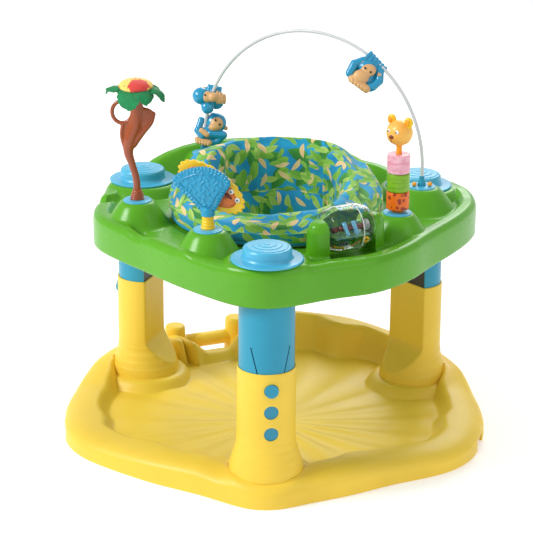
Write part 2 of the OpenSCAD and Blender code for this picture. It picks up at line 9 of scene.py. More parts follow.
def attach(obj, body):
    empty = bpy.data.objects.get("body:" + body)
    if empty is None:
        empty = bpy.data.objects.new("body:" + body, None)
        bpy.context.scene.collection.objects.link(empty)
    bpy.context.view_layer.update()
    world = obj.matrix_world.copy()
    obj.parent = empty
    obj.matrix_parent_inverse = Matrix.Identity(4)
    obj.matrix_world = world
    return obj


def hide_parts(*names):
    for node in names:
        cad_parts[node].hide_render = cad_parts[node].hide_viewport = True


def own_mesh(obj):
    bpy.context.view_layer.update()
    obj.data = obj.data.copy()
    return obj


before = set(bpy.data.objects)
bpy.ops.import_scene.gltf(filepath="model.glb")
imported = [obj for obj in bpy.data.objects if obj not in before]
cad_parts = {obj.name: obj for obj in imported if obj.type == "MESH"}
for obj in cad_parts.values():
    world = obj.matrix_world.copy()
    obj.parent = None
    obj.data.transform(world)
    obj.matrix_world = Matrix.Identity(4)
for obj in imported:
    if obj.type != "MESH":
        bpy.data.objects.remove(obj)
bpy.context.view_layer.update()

# Shapes are worked out in millimetres and turned into metres when a mesh is made.
MM = 0.001
LEGS = {"front": -90.0, "right": 30.0, "left": 150.0}
LEG_CIRCLE = 286.0
LEG_TURN = 13.0
BUTTON_HEIGHTS = (197.0, 159.0, 121.0)

# The viewer's right, up, and the way towards the viewer. The monkeys face the camera.
VIEW_RIGHT = np.array([0.99850, 0.05440, 0.00585])
VIEW_UP = np.array([-0.02331, 0.32629, 0.94498])
VIEW_NEAR = np.array([0.04950, -0.94370, 0.32707])


# ---------- small maths ----------

def polar(angle, radius):
    """Point in plan at an angle in degrees."""
    return np.array([radius * math.cos(math.radians(angle)), radius * math.sin(math.radians(angle))])


def smooth_step(x, low, high):
    """0 below low, 1 above high, smooth in between."""
    t = np.clip((x - low) / (high - low), 0.0, 1.0)
    return t * t * (3.0 - 2.0 * t)


def smooth_max(a, b, width):
    """The larger of two heights, rounded over width where they are alike."""
    h = np.clip(0.5 + 0.5 * (a - b) / width, 0.0, 1.0)
    return b * (1.0 - h) + a * h + width * h * (1.0 - h)


def angle_from(angles, centre):
    """How far each angle is from a centre, in degrees, always positive."""
    return np.abs((np.asarray(angles) - centre + 180.0) % 360.0 - 180.0)


def in_sector(angles, start, end, soft):
    """1 between two angles and 0 outside them, over soft degrees."""
    middle, half = (start + end) / 2.0, (end - start) / 2.0
    return 1.0 - smooth_step(angle_from(angles, middle), half - soft / 2.0, half + soft / 2.0)


def cad_outline(node, z):
    """Outer outline of a CAD node at a height in mm, as a function from degrees to radius in mm."""
    points = np.array([v.co[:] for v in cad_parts[node].data.vertices]) / MM
    ring = points[np.abs(points[:, 2] - z) < 0.2]
    angle = np.round(np.degrees(np.arctan2(ring[:, 1], ring[:, 0])), 1) % 360.0
    radius = np.hypot(ring[:, 0], ring[:, 1])
    corners = {}
    for a, r in zip(angle, radius):
        corners[a] = max(r, corners.get(a, 0.0))
    highest = max(corners.values())
    known = sorted(a for a in corners if corners[a] > highest * 0.65)
    return lambda at: np.interp(np.asarray(at) % 360.0, known, [corners[a] for a in known], period=360.0)


# ---------- meshes ----------

def add_mesh(name, points, faces, material, body, sharp=35.0, replaces=(), slot=None):
    """A smooth-shaded piece from points in mm. Edges sharper than sharp degrees stay crisp."""
    mesh = bpy.data.meshes.new(name)
    mesh.from_pydata((np.asarray(points, float) * MM).tolist(), [], [list(f) for f in faces])
    mesh.validate()
    mesh.update()
    piece = bpy.data.objects.new(name, mesh)
    bpy.context.scene.collection.objects.link(piece)
    mesh.materials.append(material)
    finish_shading(piece, sharp)
    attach(piece, body)
    if replaces:
        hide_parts(*replaces)
    return piece


def finish_shading(piece, sharp):
    """Smooth shading, with edges sharper than sharp degrees kept crisp."""
    mesh = piece.data
    mesh.polygons.foreach_set("use_smooth", [True] * len(mesh.polygons))
    mesh.set_sharp_from_angle(angle=math.radians(sharp))


def grid_faces(rows, columns, closed=True, close_rows=False):
    """Faces of a grid of points, wrapped round in its columns if closed."""
    faces = []
    for i in range(rows if close_rows else rows - 1):
        for j in range(columns if closed else columns - 1):
            a, b = i * columns + j, i * columns + (j + 1) % columns
            c, d = ((i + 1) % rows) * columns + (j + 1) % columns, ((i + 1) % rows) * columns + j
            faces.append((a, b, c, d))
    return faces


def loft(name, rows, material, body, cap_start=False, cap_end=False, closed=True, close_rows=False, **extra):
    """A skin over rows of points, each row with the same number of points."""
    rows = np.asarray(rows, float)
    count, columns = rows.shape[0], rows.shape[1]
    faces = grid_faces(count, columns, closed, close_rows)
    if cap_start:
        faces.append(tuple(range(columns))[::-1])
    if cap_end:
        faces.append(tuple((count - 1) * columns + k for k in range(columns)))
    return add_mesh(name, rows.reshape(-1, 3), faces, material, body, **extra)


def rounded(points, radius, steps=5):
    """A polyline with its inner corners rounded. A point may carry a radius of its own."""
    points = [tuple(p) for p in points]
    out = [np.array(points[0][:2], float)]
    for before, here, after in zip(points, points[1:], points[2:]):
        r = here[2] if len(here) > 2 else radius
        a, b, c = (np.array(p[:2], float) for p in (before, here, after))
        back, on = a - b, c - b
        reach_back, reach_on = np.linalg.norm(back), np.linalg.norm(on)
        if r <= 0 or min(reach_back, reach_on) < 1e-6:
            out.append(b)
            continue
        back, on = back / reach_back, on / reach_on
        half = math.acos(max(-1.0, min(1.0, float(back @ on)))) / 2.0
        cut = min(r / max(math.tan(half), 1e-3), 0.48 * reach_back, 0.48 * reach_on)
        for k in range(steps + 1):
            t = k / steps
            out.append(b + back * cut * (1 - t) ** 2 + on * cut * t ** 2)
    out.append(np.array(points[-1][:2], float))
    return np.array(out)


def lathe(name, profile, material, body, at=(0, 0, 0), axis="z", sides=96, radius=0.0, turn=0.0, **extra):
    """A profile of (radius, height) turned round an axis through a point, with rounded corners."""
    line = rounded(profile, radius) if radius else np.array([p[:2] for p in profile], float)
    angles = np.radians(np.arange(sides) * 360.0 / sides + turn)
    rows = []
    for r, h in line:
        r = max(r, 0.01)
        rows.append(np.stack([r * np.cos(angles), r * np.sin(angles), np.full(sides, h)], -1))
    rows = np.array(rows)
    rows = along_axis(rows, axis) + np.array(at, float)
    return loft(name, rows, material, body, cap_start=True, cap_end=True, **extra)


def turned_ring(name, section, material, body, at=(0, 0, 0), sides=96, radius=0.0, **extra):
    """A closed section of (radius, height) turned round an upright axis through a point."""
    section = list(section) + [section[0]]
    line = (rounded(section, radius, 4) if radius else np.array([p[:2] for p in section], float))[:-1]
    angles = np.radians(np.arange(sides) * 360.0 / sides)
    rows = [np.stack([r * np.cos(angles), r * np.sin(angles), np.full(sides, z)], -1) for r, z in line]
    return loft(name, np.array(rows) + np.array(at, float), material, body, close_rows=True, **extra)


def along_axis(points, axis):
    """Points made round +Z, turned so that +Z lies along axis."""
    if isinstance(axis, str):
        axis = {"x": (1, 0, 0), "y": (0, 1, 0), "z": (0, 0, 1)}[axis]
    turn = np.array(Vector((0, 0, 1)).rotation_difference(Vector(axis)).to_matrix())
    return points @ turn.T


def tube(name, path, radius, material, body, sides=24, **extra):
    """A round bar along a path; radius is one number or one per point."""
    path = np.asarray(path, float)
    radii = np.full(len(path), radius, float) if np.isscalar(radius) else np.asarray(radius, float)
    closed = extra.pop("close_rows", False)
    if closed:
        tangents = np.roll(path, -1, 0) - np.roll(path, 1, 0)
    else:
        tangents = np.gradient(path, axis=0)
    tangents /= np.linalg.norm(tangents, axis=1)[:, None]
    side = np.cross(tangents[0], [0.3, 0.5, 0.81])
    angles = np.linspace(0, 2 * math.pi, sides, endpoint=False)
    rows = []
    for point, tangent, r in zip(path, tangents, radii):
        side = side - tangent * (side @ tangent)
        side /= np.linalg.norm(side)
        other = np.cross(tangent, side)
        rows.append(point + r * (np.cos(angles)[:, None] * side + np.sin(angles)[:, None] * other))
    return loft(name, rows, material, body, cap_start=not closed, cap_end=not closed,
                close_rows=closed, **extra)


def spline(points, steps=8):
    """A smooth path through points (Catmull-Rom)."""
    p = np.asarray(points, float)
    p = np.vstack([2 * p[0] - p[1], p, 2 * p[-1] - p[-2]])
    out = []
    for a, b, c, d in zip(p, p[1:], p[2:], p[3:]):
        for k in range(steps):
            t = k / steps
            out.append(0.5 * (2 * b + (c - a) * t + (2 * a - 5 * b + 4 * c - d) * t * t
                              + (3 * b - a - 3 * c + d) * t ** 3))
    out.append(p[-2])
    return np.array(out)


def mesh_points(piece):
    """A piece's points in mm."""
    return np.array([v.co[:] for v in piece.data.vertices]) / MM


def move_points(piece, points):
    """Puts a piece's points at new places in mm."""
    piece.data.vertices.foreach_set("co", (points * MM).ravel())
    piece.data.update()


def use_modifier(piece, kind, **settings):
    """Adds a modifier and applies it at once."""
    modifier = piece.modifiers.new(kind.lower(), kind)
    for key, value in settings.items():
        setattr(modifier, key, value)
    bpy.context.view_layer.update()
    evaluated = piece.evaluated_get(bpy.context.evaluated_depsgraph_get())
    mesh = bpy.data.meshes.new_from_object(evaluated)
    old = piece.data
    piece.modifiers.clear()
    piece.data = mesh
    mesh.name = old.name
    return piece


def leg_place(leg):
    """Centre of a leg in plan, and the direction its button faces, in degrees."""
    return polar(LEGS[leg], LEG_CIRCLE), LEGS[leg] + LEG_TURN


def to_leg(points, leg):
    """Points made round a leg's own axis, with +X out through the button, moved to the leg."""
    points = np.asarray(points, float)
    centre, turn = leg_place(leg)
    c, s = math.cos(math.radians(turn)), math.sin(math.radians(turn))
    x = points[..., 0] * c - points[..., 1] * s + centre[0]
    y = points[..., 0] * s + points[..., 1] * c + centre[1]
    return np.stack([x, y, points[..., 2]], -1)


# ---------- materials ----------

def new_material(name):
    """A material with its nodes, its links and its shader."""
    material = bpy.data.materials.new(name)
    material.use_nodes = True
    nodes, links = material.node_tree.nodes, material.node_tree.links
    return material, nodes, links, nodes["Principled BSDF"]


def set_inputs(node, values):
    """Sets a node's own sockets to plain values."""
    for socket, value in values.items():
        node.inputs[socket].default_value = value


def add_bump(nodes, links, shader, height, strength, distance=0.0006):
    """Fine relief on a shader from a height socket."""
    bump = nodes.new("ShaderNodeBump")
    set_inputs(bump, {"Strength": strength, "Distance": distance})
    links.new(height, bump.inputs["Height"])
    links.new(bump.outputs["Normal"], shader.inputs["Normal"])


def object_place(nodes):
    """The socket with a point's own coordinates, in metres."""
    return nodes.new("ShaderNodeTexCoord").outputs["Object"]


def noise_node(nodes, links, scale, detail=3.0, source=None):
    """Soft noise, by default in the piece's own coordinates."""
    noise = nodes.new("ShaderNodeTexNoise")
    set_inputs(noise, {"Scale": scale, "Detail": detail})
    links.new(source or object_place(nodes), noise.inputs["Vector"])
    return noise


def ramp_node(nodes, links, source, stops):
    """A colour ramp on a socket; each stop is a position and three numbers."""
    ramp = nodes.new("ShaderNodeValToRGB")
    links.new(source, ramp.inputs["Fac"])
    elements = ramp.color_ramp.elements
    while len(elements) < len(stops):
        elements.new(0.5)
    for element, (position, colour) in zip(elements, stops):
        element.position = position
        element.color = (*colour, 1.0)
    return ramp


def shade(colour, amount):
    """A colour made darker or lighter."""
    return tuple(max(0.0, min(1.0, c * amount)) for c in colour)


def plastic(name, colour, rough=0.3, grain=0.04, coat=0.0, mottle=0.05, gloss=0.5):
    """Moulded plastic: slight unevenness of colour and gloss, and a fine grain."""
    material, nodes, links, shader = new_material(name)
    cloud = noise_node(nodes, links, 9.0)
    tint = ramp_node(nodes, links, cloud.outputs["Fac"],
                     [(0.3, shade(colour, 1.0 - mottle)), (0.7, shade(colour, 1.0 + mottle))])
    links.new(tint.outputs["Color"], shader.inputs["Base Color"])
    smear = noise_node(nodes, links, 35.0, 4.0)
    spread = nodes.new("ShaderNodeMapRange")
    set_inputs(spread, {"To Min": rough * 0.85, "To Max": rough * 1.2})
    links.new(smear.outputs["Fac"], spread.inputs["Value"])
    links.new(spread.outputs["Result"], shader.inputs["Roughness"])
    fine = noise_node(nodes, links, 900.0, 2.0)
    add_bump(nodes, links, shader, fine.outputs["Fac"], grain)
    set_inputs(shader, {"Coat Weight": coat, "Coat Roughness": 0.12, "Specular IOR Level": gloss})
    return material


YELLOW = plastic("yellow_plastic", (0.90, 0.62, 0.062), rough=0.4, grain=0.05, gloss=0.35)
GREEN = plastic("green_plastic", (0.100, 0.38, 0.010), rough=0.27, coat=0.08, gloss=0.3)
BLUE = plastic("blue_plastic", (0.018, 0.31, 0.47), rough=0.3, gloss=0.4)
CAP_BLUE = plastic("cap_blue_plastic", (0.07, 0.45, 0.68), rough=0.3)
# a darker copy of the leg blue: painted shade for the blue seen in the two lower button holes
HOLE_SHADE_BLUE = plastic("hole_shade_blue_plastic", (0.02, 0.27, 0.42), rough=0.3)
BLACK = plastic("black_plastic", (0.012, 0.013, 0.015), rough=0.45)
WHITE = plastic("white_plastic", (0.78, 0.79, 0.80), rough=0.3)


# ---------- camera, light and floor ----------

def add_camera():
    """A camera a little above the tray, looking down on it."""
    camera = bpy.data.objects.new("camera", bpy.data.cameras.new("camera"))
    bpy.context.scene.collection.objects.link(camera)
    right = Vector(VIEW_RIGHT).normalized()
    forward = Vector(-VIEW_NEAR).normalized()
    up = right.cross(forward)
    axes = Matrix((right, up, -forward)).transposed()
    camera.matrix_world = Matrix.Translation((0.16037, -3.36386, 1.46001)) @ axes.to_4x4()
    camera.data.lens = 137.77
    camera.data.sensor_width = 36.0
    camera.data.clip_end = 50.0
    bpy.context.scene.camera = camera


def add_light(name, place, target, size, power):
    """A round area light; size in metres, power in watts."""
    light = bpy.data.objects.new(name, bpy.data.lights.new(name, "AREA"))
    bpy.context.scene.collection.objects.link(light)
    light.data.shape = "DISK"
    light.data.size = size
    light.data.energy = power
    light.location = place
    light.rotation_euler = (Vector(target) - Vector(place)).to_track_quat("-Z", "Y").to_euler()


def add_studio():
    """Soft light from the left, a weak fill, a light behind, and a white sky."""
    add_light("key_light", (-2.7, -1.1, 2.5), (0, 0, 0.3), 1.4, 86)
    add_light("fill_light", (2.6, -1.6, 1.9), (0, 0, 0.3), 2.2, 12)
    add_light("back_light", (0.6, 2.6, 2.3), (0, 0, 0.4), 2.0, 40)
    world = bpy.data.worlds.new("studio")
    world.use_nodes = True
    set_inputs(world.node_tree.nodes["Background"], {"Color": (1.0, 1.0, 1.0, 1.0), "Strength": 0.56})
    bpy.context.scene.world = world
    bpy.context.scene.view_settings.view_transform = "Standard"


def add_floor():
    """A pale sheet that lies flat and curves up far behind the object."""
    material, nodes, links, shader = new_material("floor_paper")
    paper = noise_node(nodes, links, 4.0)
    tint = ramp_node(nodes, links, paper.outputs["Fac"], [(0.3, (0.86,) * 3), (0.7, (0.9,) * 3)])
    links.new(tint.outputs["Color"], shader.inputs["Base Color"])
    set_inputs(shader, {"Roughness": 0.7, "Emission Color": (1.0, 1.0, 1.0, 1.0), "Emission Strength": 0.3})
    curve = rounded([(-15000, 0), (10000, 0), (13000, 8000)], 3000, 16)
    rows = [[(x, y, z - 0.4) for x in (-15000, -5000, 5000, 15000)] for y, z in curve]
    points = np.array(rows, float)
    mesh = bpy.data.meshes.new("floor")
    mesh.from_pydata((points.reshape(-1, 3) * MM).tolist(), [], grid_faces(len(rows), 4, closed=False))
    floor = bpy.data.objects.new("floor", mesh)
    bpy.context.scene.collection.objects.link(floor)
    mesh.materials.append(material)
    finish_shading(floor, 60)


add_camera()
add_studio()
add_floor()


# ---------- base ----------

HANDLE_ANGLES = (106.0, 127.0)
HANDLE_CIRCLE = 340.0
HAND_HOLE_R = 288.0
HANDLE_Z = 40.0
PAN_Z = 14.0
LEG_CLEAR_R = 334.5
LEG_SEAT_Z = 37.9
BASE_WALL = 3.5
NOTCHES = (193.0, -13.0, 90.0)
# [angle, height of the rim's crest]
RIM_CREST = [
    (-90, 37), (-81, 38), (-72, 44), (-60, 45), (-48, 40), (-30, 37), (0, 38), (12, 44), (22, 62), (35, 68),
    (53, 75), (68, 84), (86, 86), (100, 84), (106, 70), (110, 36), (122, 36), (127, 62), (132, 65), (150, 66),
    (158, 62), (173, 42), (190, 38), (215, 37), (234, 43), (249, 46), (261, 39), (270, 37),
]


def base_rim_height(angle):
    """Height of the rim's crest round the base."""
    return np.interp((np.asarray(angle) + 90.0) % 360.0, [k + 90 for k, _ in RIM_CREST],
                     [height for _, height in RIM_CREST])


def smooth_round(values, spread):
    """A closed list of values, averaged with its neighbours."""
    kernel = np.hanning(2 * spread + 1)
    kernel /= kernel.sum()
    padded = np.concatenate([values[-spread:], values, values[:spread]])
    return np.convolve(padded, kernel, "valid")


def base_surface(material):
    """The dished base: its fluted pan, its rim, its outer wall with three notches, and its shell."""
    count = 720
    angles = np.arange(count) * 360.0 / count
    outline = cad_outline("base", 0.0)
    in_hole = in_sector(angles, HANDLE_ANGLES[0] - 1, HANDLE_ANGLES[1] + 1, 3.0)
    outer = smooth_round(outline(angles), 6) * (1 - in_hole) + HAND_HOLE_R * in_hole
    crest = smooth_round(base_rim_height(angles), 8)
    # a high rim is narrower and has a tighter shoulder
    tall = np.clip((crest - 38.0) / 48.0, 0.0, 1.0)
    rim_w = (50.0 - 26.0 * tall) * (1 - in_hole) + 12.0 * in_hole
    shoulder = (20.0 - 8.0 * tall) * (1 - in_hole) + 8.0 * in_hole
    # the wall bows in and out where it meets the floor
    fold = 7.0 * np.sin(np.radians(angles * 9.0)) * (0.3 + tall)
    fold = fold + 4.0 * np.sin(np.radians(angles * 14.0 + 40))
    # behind a leg the wall keeps clear of the upper leg, which comes down inside it
    near_leg = np.maximum.reduce([in_sector(angles, a - 11, a + 11, 8.0) for a in LEGS.values()])
    clear_w = rim_w + (np.minimum(rim_w, outer - LEG_CLEAR_R) - rim_w) * near_leg
    rim_w = np.where(near_leg > 0.0, clear_w, rim_w)
    fold = fold * (1.0 - near_leg)
    rows = []
    wall_r = outer - rim_w + np.minimum(fold, 0.0) * 1.6
    for share in np.arange(111) / 110:
        radius = (outer - rim_w) * share + 6.0 * (1 - share)
        rows.append(np.stack([radius, base_height(angles, radius, wall_r, crest)], -1))
    # over the rounded rim, down the outer wall and under its foot
    for k in range(1, 15):
        t = k / 14.0 * math.pi / 2.0
        radius = outer - rim_w + rim_w * math.sin(t)
        rows.append(np.stack([radius, crest - shoulder * (1.0 - math.cos(t))], -1))
    top = crest - shoulder
    for share in (0.1, 0.25, 0.4, 0.55, 0.7, 0.85, 0.94):
        rows.append(np.stack([outer + 0.6 * share, top * (1.0 - share)], -1))
    rows.append(np.stack([outer, np.full(count, 1.0)], -1))
    rows.append(np.stack([outer - 1.0, np.zeros(count)], -1))
    c, s = np.cos(np.radians(angles)), np.sin(np.radians(angles))
    points = np.concatenate([np.stack([r * c, r * s, z], -1) for r, z in (row.T for row in rows)])
    faces = grid_faces(len(rows), count)
    faces.append(tuple(range(count))[::-1])
    faces = [f for f in faces if len(f) != 4 or not in_notch(points[list(f)])]
    base = add_mesh("base_shell", points, faces, material, "base", replaces=["base"], slot="yellow_plastic")
    use_modifier(base, "SOLIDIFY", thickness=BASE_WALL * MM, offset=-1.0)
    # nothing goes below the floor
    points = mesh_points(base)
    points[:, 2] = np.maximum(points[:, 2], 0.0)
    move_points(base, points)
    return base


def in_notch(corners):
    """True for a face of the outer wall that a foot swings out through."""
    centre = corners.mean(0)
    angle = math.degrees(math.atan2(centre[1], centre[0]))
    radius = math.hypot(centre[0], centre[1])
    across = min(math.radians(angle_from(angle, a)) * radius for a in NOTCHES)
    return centre[2] < 20.0 and radius > 330.0 and across < 25.0


def base_height(angles, radius, rim_inner, crest):
    """Height of the dish inside the rim."""
    x, y = radius * np.cos(np.radians(angles)), radius * np.sin(np.radians(angles))
    # flutes that fan out from the middle
    toward = np.arctan2(y + 40.0, x)
    flute = 0.5 + 0.5 * np.cos(toward * 19.0 + 0.7 * np.sin(toward * 3.0))
    depth = smooth_step(radius, 25.0, 120.0) * (1.0 - smooth_step(radius, rim_inner - 60.0, rim_inner - 15.0))
    z = PAN_Z + 1.0 + 3.6 * depth * flute + 5.0 * smooth_step(radius, 60.0, rim_inner)
    z = z + (crest - z) * smooth_step(radius, rim_inner - 26.0, rim_inner)
    for leg in LEGS:
        centre, _ = leg_place(leg)
        away = np.hypot(x - centre[0], y - centre[1])
        collar = 38.0 - 24.0 * smooth_step(away, 66.0, 90.0) ** 1.4
        z = smooth_max(z, collar, 5.0)
        # the leg stands on a flat seat
        z = LEG_SEAT_Z + (z - LEG_SEAT_Z) * smooth_step(away, 52.0, 60.0)
    return z


base_surface(YELLOW)


def add_lugs():
    """The two posts that hold the carrying handle."""
    for name, angle in zip(("right", "left"), HANDLE_ANGLES):
        centre = polar(angle, HANDLE_CIRCLE)
        profile = [(0, 78), (19, 78, 7), (20, 40, 6), (22, 0)]
        lathe(f"handle_lug_{name}", profile, YELLOW, "base", at=(*centre, 0), radius=5, slot="yellow_plastic")


def add_carry_handle():
    """A round bar between the posts, ribbed where the hand holds it."""
    a, b = polar(HANDLE_ANGLES[1], HANDLE_CIRCLE), polar(HANDLE_ANGLES[0], HANDLE_CIRCLE)
    path, radii = [], []
    for t in np.arange(121) / 120:
        along = t * np.linalg.norm(b - a)
        grip = 0.7 if 24 < along < 52 else 0.0
        path.append((*(a + (b - a) * t), HANDLE_Z))
        radii.append(13.6 + grip * math.sin(along * 1.6))
    tube("carry_handle_bar", path, radii, YELLOW, "base", sides=40, replaces=["carry_handle"],
         slot="yellow_plastic")


add_lugs()
add_carry_handle()


# ---------- legs ----------

SLEEVE_FOOT, SLEEVE_TOP = 38.0, 225.0
SLEEVE_R, SLEEVE_BORE_R = 48.5, 46.4


def d_section(radius, flat, count=120, corner=1.6):
    """Outline of a round bar with a flat on its -X side, with its two edges slightly rounded."""
    if flat >= radius - 0.05:
        angles = np.linspace(-math.pi, math.pi, count, endpoint=False)
        return np.stack([radius * np.cos(angles), radius * np.sin(angles)], -1)
    half = math.acos(flat / radius)
    arc = np.linspace(-math.pi + half, math.pi - half, 240)
    line = [(radius * math.cos(t), radius * math.sin(t)) for t in arc]
    tip = radius * math.sin(half)
    flat_line = [(-flat, y) for y in np.linspace(tip, -tip, 80)[1:-1]]
    dense = np.array(line + flat_line)
    for _ in range(int(corner * 3)):
        dense = (np.roll(dense, 1, 0) + 2 * dense + np.roll(dense, -1, 0)) / 4.0
    # the same number of points at the same angles for every section
    angles = np.linspace(-math.pi, math.pi, count, endpoint=False)
    around = np.arctan2(dense[:, 1], dense[:, 0])
    order = np.argsort(around)
    r = np.interp(angles, around[order], np.hypot(dense[:, 0], dense[:, 1])[order], period=2 * math.pi)
    return np.stack([r * np.cos(angles), r * np.sin(angles)], -1)


def sleeve_radius(z):
    """Outer radius of a lower leg: a straight tube on a flared foot with faint rings."""
    flare = 12.5 * (1.0 - smooth_step(z, 34.0, 112.0))
    step = 0.9 * (1.0 - smooth_step(z, 97.5, 99.5))
    rings = sum(0.9 * (1.0 - smooth_step(z, at - 0.8, at + 0.8)) for at in (84.0, 71.0, 58.0))
    return SLEEVE_R + max(flare - 2.4, 0.0) + step + rings


def sleeve_flat(z):
    """Distance of the flat from a lower leg's axis: it fades out into the round foot."""
    return 20.0 + 44.0 * (1.0 - smooth_step(z, 44.0, 112.0))


def add_sleeve(leg):
    """A lower leg: the outside from the foot up, then the bore down, with a hole for each button setting."""
    rims = {SLEEVE_FOOT: 0.8, SLEEVE_FOOT + 1.0: 0.15, SLEEVE_TOP - 1.0: 0.15, SLEEVE_TOP: 0.8}
    heights = {*rims, SLEEVE_FOOT + 3.0, SLEEVE_TOP - 2.5}
    heights.update(np.arange(44.0, 114.0, 1.5), np.arange(116.0, 222.0, 5.0))
    rows = []
    for z in sorted(heights):
        edge = rims.get(z, 0.0)
        section = d_section(sleeve_radius(z) - edge, sleeve_flat(z) - edge, 180)
        rows.append([(x, y, z) for x, y in section])
    bore = d_section(SLEEVE_BORE_R, 17.8, 180)
    for z in (SLEEVE_TOP, 190.0, 120.0, 60.0, 42.0):
        rows.append([(x, y, z) for x, y in bore])
    piece = loft(f"lower_leg_{leg}", to_leg(rows, leg), YELLOW, "base", cap_start=True, cap_end=True,
                 replaces=[f"sleeve_{leg}"], slot="yellow_plastic")
    for k, z in enumerate(BUTTON_HEIGHTS):
        cutter = lathe(f"cutter_{leg}_{k}", [(0, 0), (12.0, 0), (12.0, 40), (0, 40)], YELLOW, "base",
                       axis="x", at=(30, 0, z), sides=48)
        move_points(cutter, to_leg(mesh_points(cutter), leg))
        use_modifier(piece, "BOOLEAN", operation="DIFFERENCE", solver="EXACT", object=cutter)
        bpy.data.objects.remove(cutter)
    finish_shading(piece, 35)


def add_tongue_hinge(leg):
    """The flexible top of the button's tongue, flush with the upper leg."""
    rows = []
    for radius, z in ((45.4, 272.0), (46.2, 272.0), (46.2, 264.5), (45.4, 264.5)):
        rows.append([(radius * math.cos(t), radius * math.sin(t), z) for t in np.linspace(-0.66, 0.66, 41)])
    loft(f"tongue_hinge_{leg}", to_leg(rows, leg), BLUE, "legs", closed=False, sharp=30, slot="blue_plastic")


def add_button(leg):
    """The button's cap in the top hole, and the blue that shows in the two lower holes, darker than the leg's
    own blue as painted shade.
    """
    cap = [(0, 52.2), (9.6, 51.8, 1.5), (11.4, 50.6, 1.2), (11.4, 44.0)]
    back = [(0, 46.2), (11.9, 46.2), (11.9, 45.0), (0, 45.0)]
    top, *lower = BUTTON_HEIGHTS
    pieces = [("button_face", cap, BLUE, f"button_{leg}", top)]
    # the lower holes get the darker blue, which is painted shade in the recess
    pieces += [(f"hole_back_{k + 1}", back, HOLE_SHADE_BLUE, "legs", z) for k, z in enumerate(lower)]
    for name, profile, material, body, z in pieces:
        made = lathe(f"{name}_{leg}", profile, material, body, axis="x", at=(0, 0, z), sides=64,
                     slot="blue_plastic")
        move_points(made, to_leg(mesh_points(made), leg))


for leg_name in LEGS:
    add_sleeve(leg_name)
    add_button(leg_name)
    add_tongue_hinge(leg_name)


# ---------- caps ----------

def add_cap(leg):
    """A leg cap: stepped rings on a drum, with a wide brim."""
    profile = [
        (0, 432.0), (4.6, 432.0, 0.6), (5.2, 431.0, 0.6), (13.4, 431.0, 0.8), (14.4, 429.9, 0.6),
        (23.2, 429.9, 0.8), (24.4, 428.8, 0.6), (33.0, 428.8, 1.2), (35.0, 427.4, 1.0), (37.6, 427.2, 2.2),
        (39.6, 424.0, 2), (39.8, 413.0, 3), (42.5, 409.3, 2.0), (57.6, 409.0, 1.2), (59.0, 408.0, 0.8),
        (59.0, 405.6), (0, 405.6),
    ]
    centre, _ = leg_place(leg)
    lathe(f"leg_cap_{leg}", profile, CAP_BLUE, "tray", at=(*centre, 0), radius=0.8, sides=144,
          replaces=[f"cap_{leg}"], slot="blue_plastic")


for leg_name in LEGS:
    add_cap(leg_name)


# ---------- tray ----------

TRAY_TOP = 401.0
DECK = 389.0
TOY_Z = 428.0
SEAT_R = 166.0
ARCH_MIDDLE = np.array([54.0, 151.5])
ARCH_R = 218.0
ARCH_TURN = 154.8
ARCH_CENTRE_Z = 462.0
ARCH_FEET = {"right": ARCH_MIDDLE - polar(ARCH_TURN, ARCH_R), "left": ARCH_MIDDLE + polar(ARCH_TURN, ARCH_R)}
PALM = np.array([-234.0, -58.0])
FAN = np.array([-101.0, -211.0])
BEAR = np.array([208.0, -96.0])
DRUM_ANGLE = -57.0
DRUM = polar(DRUM_ANGLE, 226.0)
DRUM_AXIS = polar(DRUM_ANGLE + 90.0, 1.0)
DRUM_OUT = polar(DRUM_ANGLE, 1.0)
DRUM_Z = 430.0
TRAY_LOW = 341.0
# [angle, distance, half length, half width, turn, depth] of the two hollows beside the palm
TRAY_HOLLOWS = [
    (172.0, 297.0, 34.0, 15.0, 64.0, 12.0),
    (213.0, 252.0, 44.0, 17.0, -52.0, 10.0),
]


def tray_rim_height(angle):
    """Height of the tray's rim: it stands up behind the seat, and swells beside each cap."""
    angle = np.asarray(angle) % 360.0
    rear = np.interp(angle, [87, 88, 119, 125, 131, 136, 140, 142],
                     [0.0, 39.0, 39.0, 35.5, 28.5, 19.0, 7.0, 0.0])
    side = np.interp(angle, [46, 54, 68, 86, 90], [0.0, 13.0, 17.0, 34.0, 39.0], left=0.0, right=0.0)
    side = side * (1.0 - smooth_step(angle, 89.0, 90.0))
    beside_cap = sum(4.4 * (1.0 - smooth_step(angle_from(angle, a), 7.0, 16.0)) for a in LEGS.values())
    return TRAY_TOP + np.maximum(np.maximum(rear, side), beside_cap)


def in_drum_place(x, y):
    """Plan position along the drum's axle and across it."""
    u = (x - DRUM[0]) * DRUM_AXIS[0] + (y - DRUM[1]) * DRUM_AXIS[1]
    v = (x - DRUM[0]) * DRUM_OUT[0] + (y - DRUM[1]) * DRUM_OUT[1]
    return u, v


